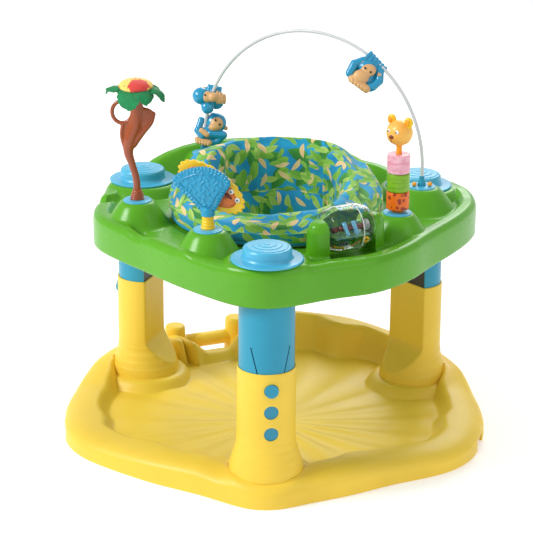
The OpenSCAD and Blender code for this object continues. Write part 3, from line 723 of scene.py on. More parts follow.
def tray_height(x, y, angles, edge_distance, rim_z):
    """Height of the tray's moulded top."""
    radius = np.hypot(x, y)
    tall = np.clip((rim_z - TRAY_TOP - 5.0) / 34.0, 0.0, 1.0)
    rim_in = 22.0 - 2.0 * tall
    z = DECK + (rim_z - DECK) * (1.0 - smooth_step(edge_distance, rim_in, rim_in + 20.0 + 26.0 * tall))
    # the deck dips a little towards the seat
    z = z - 5.0 * (1.0 - smooth_step(radius, SEAT_R + 4.0, SEAT_R + 26.0)) * (z < DECK + 6.0)
    for place in (PALM, FAN, BEAR, ARCH_FEET["left"]):
        away = np.hypot(x - place[0], y - place[1])
        cone = TOY_Z - (TOY_Z - DECK + 6.0) * smooth_step(away, 25.0, 66.0) ** 0.85
        z = smooth_max(z, cone, 5.0)
    away = np.hypot(x - ARCH_FEET["right"][0], y - ARCH_FEET["right"][1])
    z = smooth_max(z, TOY_Z - (TOY_Z - DECK + 6.0) * smooth_step(away, 25.0, 76.0) ** 0.9, 5.0)
    for leg in LEGS:
        centre, _ = leg_place(leg)
        away = np.hypot(x - centre[0], y - centre[1])
        z = smooth_max(z, 405.5 - 22.0 * smooth_step(away, 61.0, 92.0), 1.5)
    for angle, distance, long, wide, turn, depth in TRAY_HOLLOWS:
        middle = polar(angle, distance)
        c, s = math.cos(math.radians(turn)), math.sin(math.radians(turn))
        u = ((x - middle[0]) * c + (y - middle[1]) * s) / long
        v = (-(x - middle[0]) * s + (y - middle[1]) * c) / wide
        z = z - depth * (1.0 - smooth_step(np.hypot(u, v), 0.45, 1.05))
    u, v = in_drum_place(x, y)
    inside = (1.0 - smooth_step(np.abs(u), 43.0, 45.5)) * (1.0 - smooth_step(np.abs(v), 43.0, 52.0))
    return z * (1.0 - inside) + np.minimum(z, DECK - 6.5) * inside


def tray_surface(material):
    """The tray: its moulded top from the seat opening out, its rounded rim and its skirt, as a shell."""
    count = 900
    angles = np.arange(count) * 360.0 / count
    outer = smooth_round(cad_outline("tray", TRAY_LOW)(angles), 8)
    rim_z = smooth_round(tray_rim_height(angles), 5)
    c, s = np.cos(np.radians(angles)), np.sin(np.radians(angles))
    edge = 13.0
    rows = [np.stack([SEAT_R * c, SEAT_R * s, np.full(count, 376.0)], -1)]
    for share in np.arange(121) / 120:
        radius = SEAT_R + (outer - edge - SEAT_R) * share
        x, y = radius * c, radius * s
        z = tray_height(x, y, angles, outer - radius, rim_z)
        rows.append(np.stack([x, y, z], -1))
    top = rows[-1][:, 2]
    for k in range(1, 11):
        t = k / 10.0 * math.pi / 2.0
        radius = outer - edge + edge * math.sin(t)
        rows.append(np.stack([radius * c, radius * s, top - edge * (1.0 - math.cos(t))], -1))
    radius = outer + 0.5
    for share in (0.12, 0.3, 0.5, 0.7, 0.88, 0.96):
        rows.append(np.stack([radius * c, radius * s, (top - edge) * (1.0 - share) + TRAY_LOW * share], -1))
    rows.append(np.stack([(outer - 0.6) * c, (outer - 0.6) * s, np.full(count, TRAY_LOW)], -1))
    tray = loft("tray_shell", rows, material, "tray", replaces=["tray"], slot="green_plastic", sharp=42)
    return use_modifier(tray, "SOLIDIFY", thickness=3.0 * MM, offset=1.0)


def drum_points(points):
    """Points (along the axle, out from the middle of the tray, up), moved to the drum."""
    p = np.asarray(points, float)
    x = DRUM[0] + p[..., 0] * DRUM_AXIS[0] + p[..., 1] * DRUM_OUT[0]
    y = DRUM[1] + p[..., 0] * DRUM_AXIS[1] + p[..., 1] * DRUM_OUT[1]
    return np.stack([x, y, DRUM_Z + p[..., 2]], -1)


def drum_post(name, side):
    """A domed post with a flat face towards the drum."""
    profile = rounded([(27, DECK - 8), (21, DECK + 6, 12), (19.5, DRUM_Z + 4, 10), (16, DRUM_Z + 17, 12),
                       (0.2, DRUM_Z + 21)], 10, 8)
    half = np.radians(np.linspace(-90, 90, 49))
    rows = [[(side * (44.0 + 1.35 * r * math.cos(t)), 1.12 * r * math.sin(t), z - DRUM_Z) for t in half]
            for r, z in profile]
    loft(name, drum_points(rows), GREEN, "tray", sharp=50, slot="green_plastic")


def add_underside():
    """The sockets under the tray that take the upper legs."""
    for leg in LEGS:
        centre, _ = leg_place(leg)
        turned_ring(f"leg_socket_{leg}", [(46.5, 396), (46.5, 343), (50.3, 343), (50.3, 396)], GREEN, "tray",
                    at=(*centre, 0), slot="green_plastic")


tray_surface(GREEN)
drum_post("drum_post_right", 1)
drum_post("drum_post_left", -1)
add_underside()


# ---------- sockets ----------

def add_socket(name, place, hole):
    """A blue ring with a hole for a toy's stem."""
    profile = [(hole, TOY_Z), (hole, TOY_Z + 3.2, 0.5), (20.5, TOY_Z + 3.0, 0.6), (21.2, TOY_Z + 2.4, 0.5),
               (24.2, TOY_Z + 2.2, 1.2), (24.2, TOY_Z - 0.5)]
    lathe(name, profile, CAP_BLUE, "tray", at=(*place, 0), radius=0.5, replaces=[name], slot="blue_plastic")


for toy, toy_place in (("palm", PALM), ("fan", FAN), ("bear", BEAR)):
    add_socket(f"socket_{toy}", toy_place, 6.2)
for side_name, foot_place in ARCH_FEET.items():
    add_socket(f"socket_arch_{side_name}", foot_place, 3.2)


# ---------- seat ----------

def math_node(nodes, links, operation, a, b=None):
    """A Math node on sockets or numbers; returns its output."""
    node = nodes.new("ShaderNodeMath")
    node.operation = operation
    for socket, value in zip(node.inputs, (a, b)):
        if value is None:
            continue
        if isinstance(value, (int, float)):
            socket.default_value = value
        else:
            links.new(value, socket)
    return node.outputs[0]


def mix_colour(nodes, links, factor, a, b):
    """Mixes two colours; each is a socket or three numbers."""
    node = nodes.new("ShaderNodeMix")
    node.data_type = "RGBA"
    links.new(factor, node.inputs["Factor"])
    for socket, value in ((node.inputs[6], a), (node.inputs[7], b)):
        if isinstance(value, tuple):
            socket.default_value = (*value, 1.0)
        else:
            links.new(value, socket)
    return node.outputs[2]


def leaf_layer(nodes, links, source, cells, length, width, shift):
    """Scattered leaves: (mask, place across the leaf, random number of the leaf), in the cloth's metres."""
    moved = nodes.new("ShaderNodeVectorMath")
    links.new(source, moved.inputs[0])
    moved.inputs[1].default_value = (shift, shift * 0.6, 0.0)
    cell = nodes.new("ShaderNodeTexVoronoi")
    cell.voronoi_dimensions = "2D"
    set_inputs(cell, {"Scale": cells, "Randomness": 0.75})
    links.new(moved.outputs[0], cell.inputs["Vector"])
    local = nodes.new("ShaderNodeVectorMath")
    local.operation = "SUBTRACT"
    links.new(moved.outputs[0], local.inputs[0])
    links.new(cell.outputs["Position"], local.inputs[1])
    parts = nodes.new("ShaderNodeSeparateColor")
    links.new(cell.outputs["Color"], parts.inputs[0])
    turned = nodes.new("ShaderNodeVectorRotate")
    turned.rotation_type = "Z_AXIS"
    links.new(local.outputs[0], turned.inputs["Vector"])
    links.new(math_node(nodes, links, "MULTIPLY", parts.outputs[0], 2 * math.pi), turned.inputs["Angle"])
    place = nodes.new("ShaderNodeSeparateXYZ")
    links.new(turned.outputs[0], place.inputs[0])
    along = math_node(nodes, links, "DIVIDE", place.outputs[0], length)
    squared = math_node(nodes, links, "MULTIPLY", along, along)
    taper = math_node(nodes, links, "SUBTRACT", 1.0, squared)
    # the leaf bends a little along its length
    bend = math_node(nodes, links, "MULTIPLY", squared, width * 0.5)
    across = math_node(nodes, links, "ADD", place.outputs[1], bend)
    side = math_node(nodes, links, "ABSOLUTE", across)
    room = math_node(nodes, links, "SUBTRACT", math_node(nodes, links, "MULTIPLY", taper, width), side)
    edge = nodes.new("ShaderNodeMapRange")
    set_inputs(edge, {"From Min": -0.0003, "From Max": 0.0003})
    links.new(room, edge.inputs["Value"])
    return edge.outputs["Result"], across, parts.outputs[1]


def leaf_cloth(name):
    """Woven cotton printed with leaves on a bright blue ground."""
    material, nodes, links, shader = new_material(name)
    uv = nodes.new("ShaderNodeUVMap")
    uv.uv_map = "cloth"
    source = uv.outputs["UV"]
    wash = noise_node(nodes, links, 22.0, 3.0, source)
    colour = ramp_node(nodes, links, wash.outputs["Fac"],
                       [(0.35, (0.0, 0.25, 0.52)), (0.65, (0.01, 0.38, 0.63))]).outputs["Color"]
    # leaves to the metre, half length, half width, shift, share left out, dark edge, light edge
    layers = [
        (21.0, 0.027, 0.0130, 0.37, 0.30, (0.015, 0.19, 0.04), (0.06, 0.33, 0.03)),
        (27.0, 0.022, 0.0085, 5.30, 0.28, (0.09, 0.38, 0.03), (0.27, 0.55, 0.06)),
        (33.0, 0.018, 0.0064, 3.10, 0.32, (0.27, 0.54, 0.06), (0.48, 0.70, 0.17)),
        (33.0, 0.015, 0.0046, 7.70, 0.55, (0.83, 0.55, 0.22), (0.90, 0.70, 0.36)),
        (43.0, 0.013, 0.0040, 11.3, 0.40, (0.14, 0.45, 0.03), (0.32, 0.60, 0.10)),
    ]
    for cells, length, width, shift, missing, dark, light in layers:
        mask, across, chance = leaf_layer(nodes, links, source, cells, length, width, shift)
        blade_side = math_node(nodes, links, "MULTIPLY_ADD", across, 40.0)
        blade = ramp_node(nodes, links, blade_side, [(0.0, dark), (0.9, light)])
        from_rib = math_node(nodes, links, "ABSOLUTE", across)
        vein = math_node(nodes, links, "LESS_THAN", from_rib, 0.00035)
        vein = math_node(nodes, links, "MULTIPLY", vein, 0.6)
        veined = mix_colour(nodes, links, vein, blade.outputs["Color"], shade(dark, 0.55))
        present = math_node(nodes, links, "GREATER_THAN", chance, missing)
        mask = math_node(nodes, links, "MULTIPLY", mask, present)
        colour = mix_colour(nodes, links, mask, colour, veined)
    links.new(colour, shader.inputs["Base Color"])
    set_inputs(shader, {"Roughness": 0.85, "Sheen Weight": 0.25, "Sheen Roughness": 0.5})
    weave(nodes, links, shader, source, 1500.0, 0.25)
    return material


def weave(nodes, links, shader, source, threads, strength):
    """Bump of crossing threads, so many to the metre."""
    heights = []
    for direction in ("X", "Y"):
        wave = nodes.new("ShaderNodeTexWave")
        wave.bands_direction = direction
        set_inputs(wave, {"Scale": threads / 20.0, "Distortion": 0.4})
        links.new(source, wave.inputs["Vector"])
        heights.append(wave.outputs["Fac"])
    slub = noise_node(nodes, links, 260.0, 2.0, source)
    total = math_node(nodes, links, "ADD", heights[0], heights[1])
    total = math_node(nodes, links, "ADD", total, slub.outputs["Fac"])
    add_bump(nodes, links, shader, total, strength, 0.0004)


LEAF_CLOTH = leaf_cloth("leaf_cloth")
PIPING_BLUE = plastic("piping_blue", (0.0, 0.28, 0.55), rough=0.8, grain=0.3)


def at_angles(angle, knots, values, spread=14):
    """A value that changes smoothly round the circle, from a few known ones."""
    round_circle = np.arange(720) / 2.0
    fine = np.interp(round_circle, [k % 360 for k in knots], values, period=360.0)
    return np.interp(np.asarray(angle) % 360.0, round_circle, smooth_round(fine, spread), period=360.0)


# height of the seat's crest and radius of its mouth at a few angles round it
SEAT_KNOTS = [200, 230, 270, 310, 335, 0, 20, 36, 39, 42, 46, 60, 90, 120, 150, 160, 180]
SEAT_CREST = [438, 432, 432, 434, 440, 450, 464, 480, 482, 480, 482, 484, 485, 484, 478, 464, 449]
SEAT_INNER = [108, 112, 114, 112, 108, 104, 101, 98, 99, 127, 130, 132, 133, 129, 118, 110, 106]


def seat_line(crest, inner):
    """Section of the padded seat, from the middle of its floor up, over the roll and back below."""
    return [(0.5, 267), (50, 266.5), (84, 268), (102, 284), (109, 320), (inner + 3, 360), (inner, 395),
            (inner + 1, crest - 26), (inner + 8, crest - 8), (inner * 0.55 + 71, crest),
            (163, crest - 5), (174, crest - 18), (180, crest * 0.55 + 399 * 0.45), (180.5, 412), (177, 400),
            (168, 394), (150, 392.8), (132, 392.5), (125, 380), (121, 340), (117, 300), (104, 266),
            (86, 257.5), (40, 256.5), (0.5, 256.5)]


# [angle, width in degrees, depth] of the folds where the cloth is gathered
SEAT_FOLDS = [(122, 4.5, 7.0), (108, 3.5, -5.0), (141, 5.0, -6.0), (133, 4.0, 5.0), (44, 2.4, 12.0),
              (38, 2.6, -4.0), (74, 5.0, 3.0), (62, 4.0, -3.0), (93, 6.0, -2.5), (160, 5.0, 5.0),
              (-12, 5.0, 3.0), (-100, 9.0, 2.0), (-64, 8.0, -2.0), (200, 7.0, -3.0)]


def seat_puckers(angle, share):
    """How far the cloth stands in or out, in mm, where it is gathered: share runs along the section."""
    wall = smooth_step(share, 0.12, 0.22) * (1.0 - smooth_step(share, 0.40, 0.47))
    gathers = 0.0
    for place, width, depth in SEAT_FOLDS:
        gathers = gathers + depth * np.exp(-(angle_from(angle, place) / width) ** 2)
    roll = smooth_step(share, 0.30, 0.36) * (1.0 - smooth_step(share, 0.60, 0.66))
    ripple = 1.1 * np.sin(np.radians(angle * 17.0 + 30.0)) * np.sin(np.radians(angle * 5.0))
    return gathers * wall * 0.8 + ripple * roll


def seat_surface():
    """The seat's padded cloth, and its grid of points."""
    count = 320
    angles = np.arange(count) * 360.0 / count
    crest = at_angles(angles, SEAT_KNOTS, SEAT_CREST)
    inner = at_angles(angles, SEAT_KNOTS, SEAT_INNER, 3)
    sections = []
    for c, i in zip(crest, inner):
        line = spline(seat_line(c, i), 8)
        run = np.concatenate([[0], np.cumsum(np.linalg.norm(np.diff(line, axis=0), axis=1))])
        even = np.linspace(0, run[-1], 150)
        sections.append(np.stack([np.interp(even, run, line[:, 0]), np.interp(even, run, line[:, 1])], -1))
    sections = np.array(sections)
    share = np.linspace(0, 1, sections.shape[1])
    radius = sections[:, :, 0] + seat_puckers(angles[:, None], share[None, :])
    c, s = np.cos(np.radians(angles))[:, None], np.sin(np.radians(angles))[:, None]
    points = np.stack([radius * c, radius * s, sections[:, :, 1]], -1).transpose(1, 0, 2)
    seat = loft("seat_cushion", points, LEAF_CLOTH, "seat", replaces=["seat_pad"], slot="leaf_fabric",
                sharp=80)
    add_cloth_uv(seat, points.shape[0], count)
    return seat, points


def add_cloth_uv(piece, rows, columns):
    """A UV map in metres: round the seat across, and along its section upwards."""
    layer = piece.data.uv_layers.new(name="cloth")
    for polygon in piece.data.polygons:
        corners = [piece.data.loops[k].vertex_index for k in polygon.loop_indices]
        wraps = max(v % columns for v in corners) - min(v % columns for v in corners) > columns / 2
        for k, vertex in zip(polygon.loop_indices, corners):
            column = vertex % columns
            if wraps and column < columns / 2:
                column += columns
            row = vertex // columns
            layer.data[k].uv = (column / columns * 0.90, row / rows * 0.80)


def settle_cloth(piece, pinned, pressure, grow, frames, reach):
    """Lets a closed piece's cloth swell and pucker, and keeps each point within reach mm of its place."""
    start = np.array([v.co[:] for v in piece.data.vertices])
    group = piece.vertex_groups.new(name="held")
    for index, weight in enumerate(pinned):
        if weight > 0.0:
            group.add([index], float(weight), "REPLACE")
    cloth = piece.modifiers.new("cloth", "CLOTH")
    settings = {"quality": 5, "mass": 0.15, "tension_stiffness": 12.0, "compression_stiffness": 12.0,
                "shear_stiffness": 6.0, "bending_stiffness": 0.6, "use_pressure": True,
                "uniform_pressure_force": pressure, "shrink_min": -grow, "vertex_group_mass": "held"}
    for key, value in settings.items():
        setattr(cloth.settings, key, value)
    cloth.settings.effector_weights.gravity = 0.0
    cloth.collision_settings.use_self_collision = False
    cloth.point_cache.frame_start = 1
    cloth.point_cache.frame_end = frames
    for frame_number in range(1, frames + 1):
        bpy.context.scene.frame_set(frame_number)
    evaluated = piece.evaluated_get(bpy.context.evaluated_depsgraph_get())
    end = np.array([v.co[:] for v in evaluated.data.vertices])
    moved = end - start
    distance = np.linalg.norm(moved, axis=1)[:, None]
    limit = reach * MM
    moved *= np.where(distance > 1e-9, limit * np.tanh(distance / limit) / np.maximum(distance, 1e-9), 0.0)
    piece.modifiers.clear()
    piece.vertex_groups.clear()
    piece.data.vertices.foreach_set("co", (start + moved).ravel())
    piece.data.update()
    bpy.context.scene.frame_set(1)


def cut_leg_holes(piece, floor_z):
    """Cuts the two holes for the child's legs through the seat's floor."""
    for side in (-1, 1):
        cutter = lathe(f"leg_hole_{side + 1}", [(0, 0), (40, 0), (40, 40), (0, 40)], PIPING_BLUE, "seat",
                       at=(side * 52.0, -58.0, floor_z), sides=64)
        use_modifier(piece, "BOOLEAN", operation="DIFFERENCE", solver="EXACT", object=cutter)
        bpy.data.objects.remove(cutter)
    finish_shading(piece, 80)


def add_seat():
    """The padded seat with its leg holes, and the piping round its rim."""
    seat, points = seat_surface()
    flat = points.reshape(-1, 3)
    radius = np.hypot(flat[:, 0], flat[:, 1])
    row = np.repeat(np.arange(points.shape[0]), points.shape[1]) / points.shape[0]
    held = np.where((row > 0.64) | (row < 0.20) | (radius < 60), 1.0, 0.0)
    held = np.maximum(held, 1.0 - smooth_step(row, 0.20, 0.27))
    settle_cloth(seat, held, 2.5, 0.05, 18, 6.0)
    cut_leg_holes(seat, 250.0)
    around = np.linspace(0, 2 * math.pi, 240, endpoint=False)
    ring = [(178.0 * math.cos(t), 178.0 * math.sin(t), 394.0) for t in around]
    tube("seat_piping", ring, 3.0, PIPING_BLUE, "seat", sides=12, close_rows=True, slot="leaf_fabric")


add_seat()


# ---------- toy materials ----------

def spotted(name, colour, spot, scale, size, rough=0.35):
    """Plastic with scattered darker spots."""
    material, nodes, links, shader = new_material(name)
    source = object_place(nodes)
    wobble = noise_node(nodes, links, 160.0, 2.0, source)
    cells = nodes.new("ShaderNodeTexVoronoi")
    cells.inputs["Scale"].default_value = scale
    links.new(source, cells.inputs["Vector"])
    away = math_node(nodes, links, "ADD", cells.outputs["Distance"],
                     math_node(nodes, links, "MULTIPLY", wobble.outputs["Fac"], size * 0.8))
    mask = ramp_node(nodes, links, away, [(size * 1.3, spot), (size * 1.42, colour)])
    links.new(mask.outputs["Color"], shader.inputs["Base Color"])
    shader.inputs["Roughness"].default_value = rough
    return material


def marbled(name, light, dark, scale, stretch, rough=0.35):
    """Plastic with soft streaks of a second colour."""
    material, nodes, links, shader = new_material(name)
    source = object_place(nodes)
    mapping = nodes.new("ShaderNodeMapping")
    mapping.inputs["Scale"].default_value = stretch
    links.new(source, mapping.inputs["Vector"])
    streak = noise_node(nodes, links, scale, 4.0, mapping.outputs["Vector"])
    streak.inputs["Distortion"].default_value = 0.8
    tint = ramp_node(nodes, links, streak.outputs["Fac"], [(0.35, dark), (0.62, light)])
    links.new(tint.outputs["Color"], shader.inputs["Base Color"])
    shader.inputs["Roughness"].default_value = rough
    add_bump(nodes, links, shader, streak.outputs["Fac"], 0.3)
    return material


def plain_cloth(name, dark, light):
    """Woven cloth of one colour, a little cloudy."""
    material, nodes, links, shader = new_material(name)
    source = object_place(nodes)
    cloud = noise_node(nodes, links, 60.0, 3.0, source)
    tint = ramp_node(nodes, links, cloud.outputs["Fac"], [(0.3, dark), (0.7, light)])
    links.new(tint.outputs["Color"], shader.inputs["Base Color"])
    set_inputs(shader, {"Roughness": 0.85, "Sheen Weight": 0.3})
    weave(nodes, links, shader, source, 2200.0, 0.3)
    return material


def clear_plastic(name):
    """Clear plastic of a thin shell, which hardly bends the light."""
    material, nodes, links, shader = new_material(name)
    haze = noise_node(nodes, links, 30.0)
    tint = ramp_node(nodes, links, haze.outputs["Fac"], [(0.3, (0.93, 0.97, 0.98)), (0.7, (0.99, 1.0, 1.0))])
    links.new(tint.outputs["Color"], shader.inputs["Base Color"])
    set_inputs(shader, {"Roughness": 0.02, "IOR": 1.05, "Transmission Weight": 1.0, "Coat Weight": 0.25,
                        "Coat Roughness": 0.05})
    return material


FUR_BLUE = plastic("monkey_blue", (0.008, 0.30, 0.53), rough=0.25, coat=0.5)
SKIN_TAN = plastic("monkey_tan", (0.74, 0.42, 0.17), rough=0.4, coat=0.2)
EYE_BLACK = plastic("eye_black", (0.01, 0.008, 0.008), rough=0.15)
EYE_WHITE = plastic("eye_white", (0.85, 0.85, 0.83), rough=0.3)
BROWN = plastic("palm_brown", (0.33, 0.062, 0.010), rough=0.25, coat=0.3)
TOY_YELLOW = plastic("toy_yellow", (0.93, 0.58, 0.01), rough=0.3)
TOY_ORANGE = marbled("bird_orange", (0.86, 0.20, 0.012), (0.50, 0.07, 0.01), 70.0, (1.0, 1.0, 1.6))
FAN_BLUE = plastic("fan_blue", (0.006, 0.30, 0.52), rough=0.35, coat=0.2)
BEAR_SKIN = marbled("bear_skin", (0.95, 0.55, 0.10), (0.90, 0.40, 0.05), 26.0, (1.0, 1.0, 1.0))
BEAR_BROWN = plastic("bear_brown", (0.25, 0.04, 0.01), rough=0.3)
BEAR_ORANGE = plastic("bear_orange", (0.90, 0.36, 0.01), rough=0.35)
RING_ORANGE = spotted("ring_orange_spots", (0.87, 0.16, 0.004), (0.33, 0.03, 0.004), 95.0, 0.36)
RING_GREEN = marbled("ring_green_streaks", (0.24, 0.50, 0.01), (0.15, 0.38, 0.01), 40.0, (1.0, 1.0, 8.0))
RING_PINK = marbled("ring_pink_marble", (0.92, 0.52, 0.60), (0.80, 0.28, 0.40), 45.0, (1.0, 1.0, 2.5))
LEAF_GREEN = plain_cloth("crown_green", (0.0, 0.17, 0.045), (0.0, 0.27, 0.08))
CLEAR = clear_plastic("clear_plastic")
SCENE_BROWN = plastic("scene_brown", (0.16, 0.025, 0.012), rough=0.4)
SCENE_BLUE = plastic("scene_blue", (0.16, 0.48, 0.72), rough=0.35)
SCENE_GREEN = marbled("scene_leaves", (0.25, 0.50, 0.12), (0.02, 0.22, 0.25), 55.0, (1.0, 1.0, 1.0))


# ---------- moulded figures ----------

def blob(name, balls, material, body, voxel=1.4, smooth=4, **extra):
    """One smooth body from overlapping ellipsoids: (centre, three radii, turn matrix or None)."""
    work = bmesh.new()
    for centre, radii, turn in balls:
        scale = Matrix.Diagonal((*[r * MM for r in radii], 1.0))
        spin = turn.to_4x4() if turn is not None else Matrix.Identity(4)
        place = Matrix.Translation([c * MM for c in centre]) @ spin @ scale
        bmesh.ops.create_icosphere(work, subdivisions=3, radius=1.0, matrix=place)
    mesh = bpy.data.meshes.new(name)
    work.to_mesh(mesh)
    work.free()
    piece = bpy.data.objects.new(name, mesh)
    bpy.context.scene.collection.objects.link(piece)
    use_modifier(piece, "REMESH", mode="VOXEL", voxel_size=voxel * MM, use_smooth_shade=True)
    use_modifier(piece, "SMOOTH", factor=0.5, iterations=smooth)
    piece.data.materials.clear()
    piece.data.materials.append(material)
    finish_shading(piece, 70)
    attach(piece, body)
    if extra.get("replaces"):
        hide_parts(*extra["replaces"])
    return piece


def ball_path(points, radii, steps=8, flat=1.0, depth_axis=1):
    """Ellipsoids along a smooth path, thinner along one axis by flat."""
    path = spline(points, steps)
    sizes = np.interp(np.linspace(0, 1, len(path)), np.linspace(0, 1, len(radii)), radii)
    out = []
    for p, r in zip(path, sizes):
        size = [r, r, r]
        size[depth_axis] = r * flat
        out.append((tuple(p), tuple(size), None))
    return out


# ---------- palm toy ----------

def palm_point(x, z, depth=0.0):
    """A point of the palm toy: across, up from its socket, and back."""
    return (PALM[0] + x, PALM[1] + depth, TOY_Z + 3.0 + z)


def add_palm():
    """The palm's ringed collar, and its trunk with three branches, two webs and a finger loop."""
    collar = [(0, 0), (12.0, 0), (12.2, 3, 1), (10.6, 4.2, 0.8), (11.4, 6.5, 1), (9.8, 8, 0.8),
              (10.4, 10.5, 1), (8.6, 12, 1), (8.8, 14.5, 1), (6.5, 17), (0, 17)]
    lathe("palm_collar", collar, BROWN, "palm", at=palm_point(0, 0), radius=0.5, sides=64,
          slot="brown_rubber")
    balls = ball_path([palm_point(0, 12), palm_point(-1.5, 36), palm_point(-8, 61), palm_point(-14, 82),
                       palm_point(-11, 104), palm_point(-1, 132), palm_point(1, 165), palm_point(0, 186)],
                      [6.6, 6.2, 6.2, 8.2, 11.0, 11.0, 10.0, 9.0], 14, 0.75)
    balls += ball_path([palm_point(-13, 78), palm_point(-21, 94), palm_point(-25, 112), palm_point(-23, 130)],
                       [5.0, 3.6, 3.4, 3.6], 12)
    balls += ball_path([palm_point(-6, 96), palm_point(9, 117), palm_point(24, 134), palm_point(30, 150)],
                       [7.0, 6.4, 4.6, 3.6], 14, 0.8)
    balls += ball_path([palm_point(30, 150), palm_point(20, 155), palm_point(8, 156), palm_point(2, 166)],
                       [3.4, 4.6, 7.0, 9.0], 12, 0.6)
    # the webs between the trunk and its branches
    balls += ball_path([palm_point(-16, 96), palm_point(-14, 112), palm_point(-11, 128)], [6, 9, 9], 8, 0.34)
    balls += ball_path([palm_point(4, 118), palm_point(12, 134), palm_point(17, 148)], [8, 12, 11], 8, 0.30)
    for k in range(44):
        t = k / 44.0 * 2 * math.pi
        loop = palm_point(-23.5 + 17.0 * math.cos(t), 152 + 19.0 * math.sin(t))
        balls.append((loop, (3.6, 3.6, 3.6), None))
    blob("palm_trunk", balls, BROWN, "palm", voxel=1.2, smooth=5, replaces=["palm_stalk"],
         slot="brown_rubber")
    add_palm_crown()


def palm_leaf(name, angle, length, width, rise, droop, curl):
    """One cloth leaf: it arches out from the crown, droops at its tip and folds along its rib."""
    steps, sides = 26, 17
    rows = []
    for i in range(steps):
        u = i / (steps - 1)
        reach = length * (u - 0.12 * u * u)
        spread = width * (0.70 + 0.30 * math.sin(math.pi * u)) * math.sqrt(1.0 - u ** 5)
        row = []
        for j in range(sides):
            v = 2.0 * j / (sides - 1) - 1.0
            wave = 2.0 * math.sin(u * 9.0 + v * 2.5 + angle) * abs(v)
            z = rise * math.sin(u * 1.9) - droop * u ** 1.7 - curl * v * v * (0.3 + u) + wave
            notch = 1.0 - 0.10 * (abs(v) > 0.95) * (i % 4 == 0)
            row.append((17 + reach, v * spread * notch, z))
        rows.append(row)
    rows = np.array(rows)
    c, s = math.cos(math.radians(angle)), math.sin(math.radians(angle))
    x, y = rows[..., 0] * c - rows[..., 1] * s, rows[..., 0] * s + rows[..., 1] * c
    origin = palm_point(0, 194)
    points = np.stack([x + origin[0], y + origin[1], rows[..., 2] + origin[2]], -1)
    leaf = loft(name, points, LEAF_GREEN, "palm", closed=False, sharp=80, slot="green_cloth")
    use_modifier(leaf, "SOLIDIFY", thickness=1.6 * MM, offset=0.0)
    finish_shading(leaf, 80)
    return leaf


def add_palm_crown():
    """Seven cloth leaves round a stuffed flower."""
    leaves = [(186, 37, 13, 6, 7, 6), (252, 19, 23, 4, 30, 4), (305, 25, 18, 5, 19, 6),
              (350, 37, 15, 8, 17, 8), (40, 34, 15, 7, 16, 6), (90, 32, 16, 7, 14, 6),
              (138, 32, 16, 6, 12, 6)]
    made = [palm_leaf(f"palm_leaf_{k + 1}", *leaf) for k, leaf in enumerate(leaves)]
    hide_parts("palm_leaves")
    dome = [(0, 210), (8, 209.7), (16, 208.2), (23, 205.4), (27.5, 201.5), (29, 197.5), (27, 194), (20, 191),
            (0, 190)]
    profile = spline([(max(r, 0.01), z) for r, z in dome], 5)
    flower = lathe("palm_flower_pad", [(r, z - 186) for r, z in profile], flower_cloth(), "palm",
                   at=palm_point(0, 186), sides=72, replaces=["palm_flower"], slot="flower_cloth")


def flower_cloth():
    """Yellow cloth with a large red patch on one side and short orange strokes."""
    material, nodes, links, shader = new_material("flower_cloth")
    source = object_place(nodes)
    patch = nodes.new("ShaderNodeVectorMath")
    patch.operation = "DISTANCE"
    links.new(source, patch.inputs[0])
    patch.inputs[1].default_value = [c * MM for c in palm_point(8, 203, -21)]
    wobble = noise_node(nodes, links, 90.0, 3.0, source)
    away = math_node(nodes, links, "ADD", patch.outputs["Value"],
                     math_node(nodes, links, "MULTIPLY", wobble.outputs["Fac"], 0.012))
    inside = math_node(nodes, links, "LESS_THAN", away, 0.0235)
    mapping = nodes.new("ShaderNodeMapping")
    mapping.inputs["Scale"].default_value = (1.0, 0.35, 1.0)
    links.new(source, mapping.inputs["Vector"])
    strokes = noise_node(nodes, links, 260.0, 1.0, mapping.outputs["Vector"])
    stroke = math_node(nodes, links, "GREATER_THAN", strokes.outputs["Fac"], 0.60)
    ground = mix_colour(nodes, links, stroke, (0.93, 0.66, 0.14), (0.82, 0.25, 0.03))
    links.new(mix_colour(nodes, links, inside, ground, (0.72, 0.055, 0.045)), shader.inputs["Base Color"])
    set_inputs(shader, {"Roughness": 0.8, "Sheen Weight": 0.2})
    weave(nodes, links, shader, source, 1800.0, 0.3)
    return material


# ---------- fan toy ----------

FAN_YAW = math.radians(-14.0)
FAN_FACING = (math.sin(FAN_YAW), -math.cos(FAN_YAW), 0)
PANEL_CENTRE = (-10, 66)
BIRD_CENTRE = (1, 66)


def fan_points(points):
    """Points made in the panel's own place (across, back, up from the socket), moved to the toy."""
    p = np.asarray(points, float)
    c, s = math.cos(FAN_YAW), math.sin(FAN_YAW)
    return np.stack([FAN[0] + p[..., 0] * c - p[..., 1] * s, FAN[1] + p[..., 0] * s + p[..., 1] * c,
                     TOY_Z + 3.0 + p[..., 2]], -1)


def closed_spline(points, steps):
    """A smooth closed path through points."""
    p = np.asarray(points, float)
    return spline(np.vstack([p[-1], p, p[:2]]), steps)[steps:-steps - 1]


def even_ring(path, count):
    """A closed path with points at even distances."""
    closed = np.vstack([path, path[:1]])
    run = np.concatenate([[0], np.cumsum(np.linalg.norm(np.diff(closed, axis=0), axis=1))])
    even = np.linspace(0, run[-1], count, endpoint=False)
    return np.stack([np.interp(even, run, closed[:, k]) for k in range(closed.shape[1])], -1)


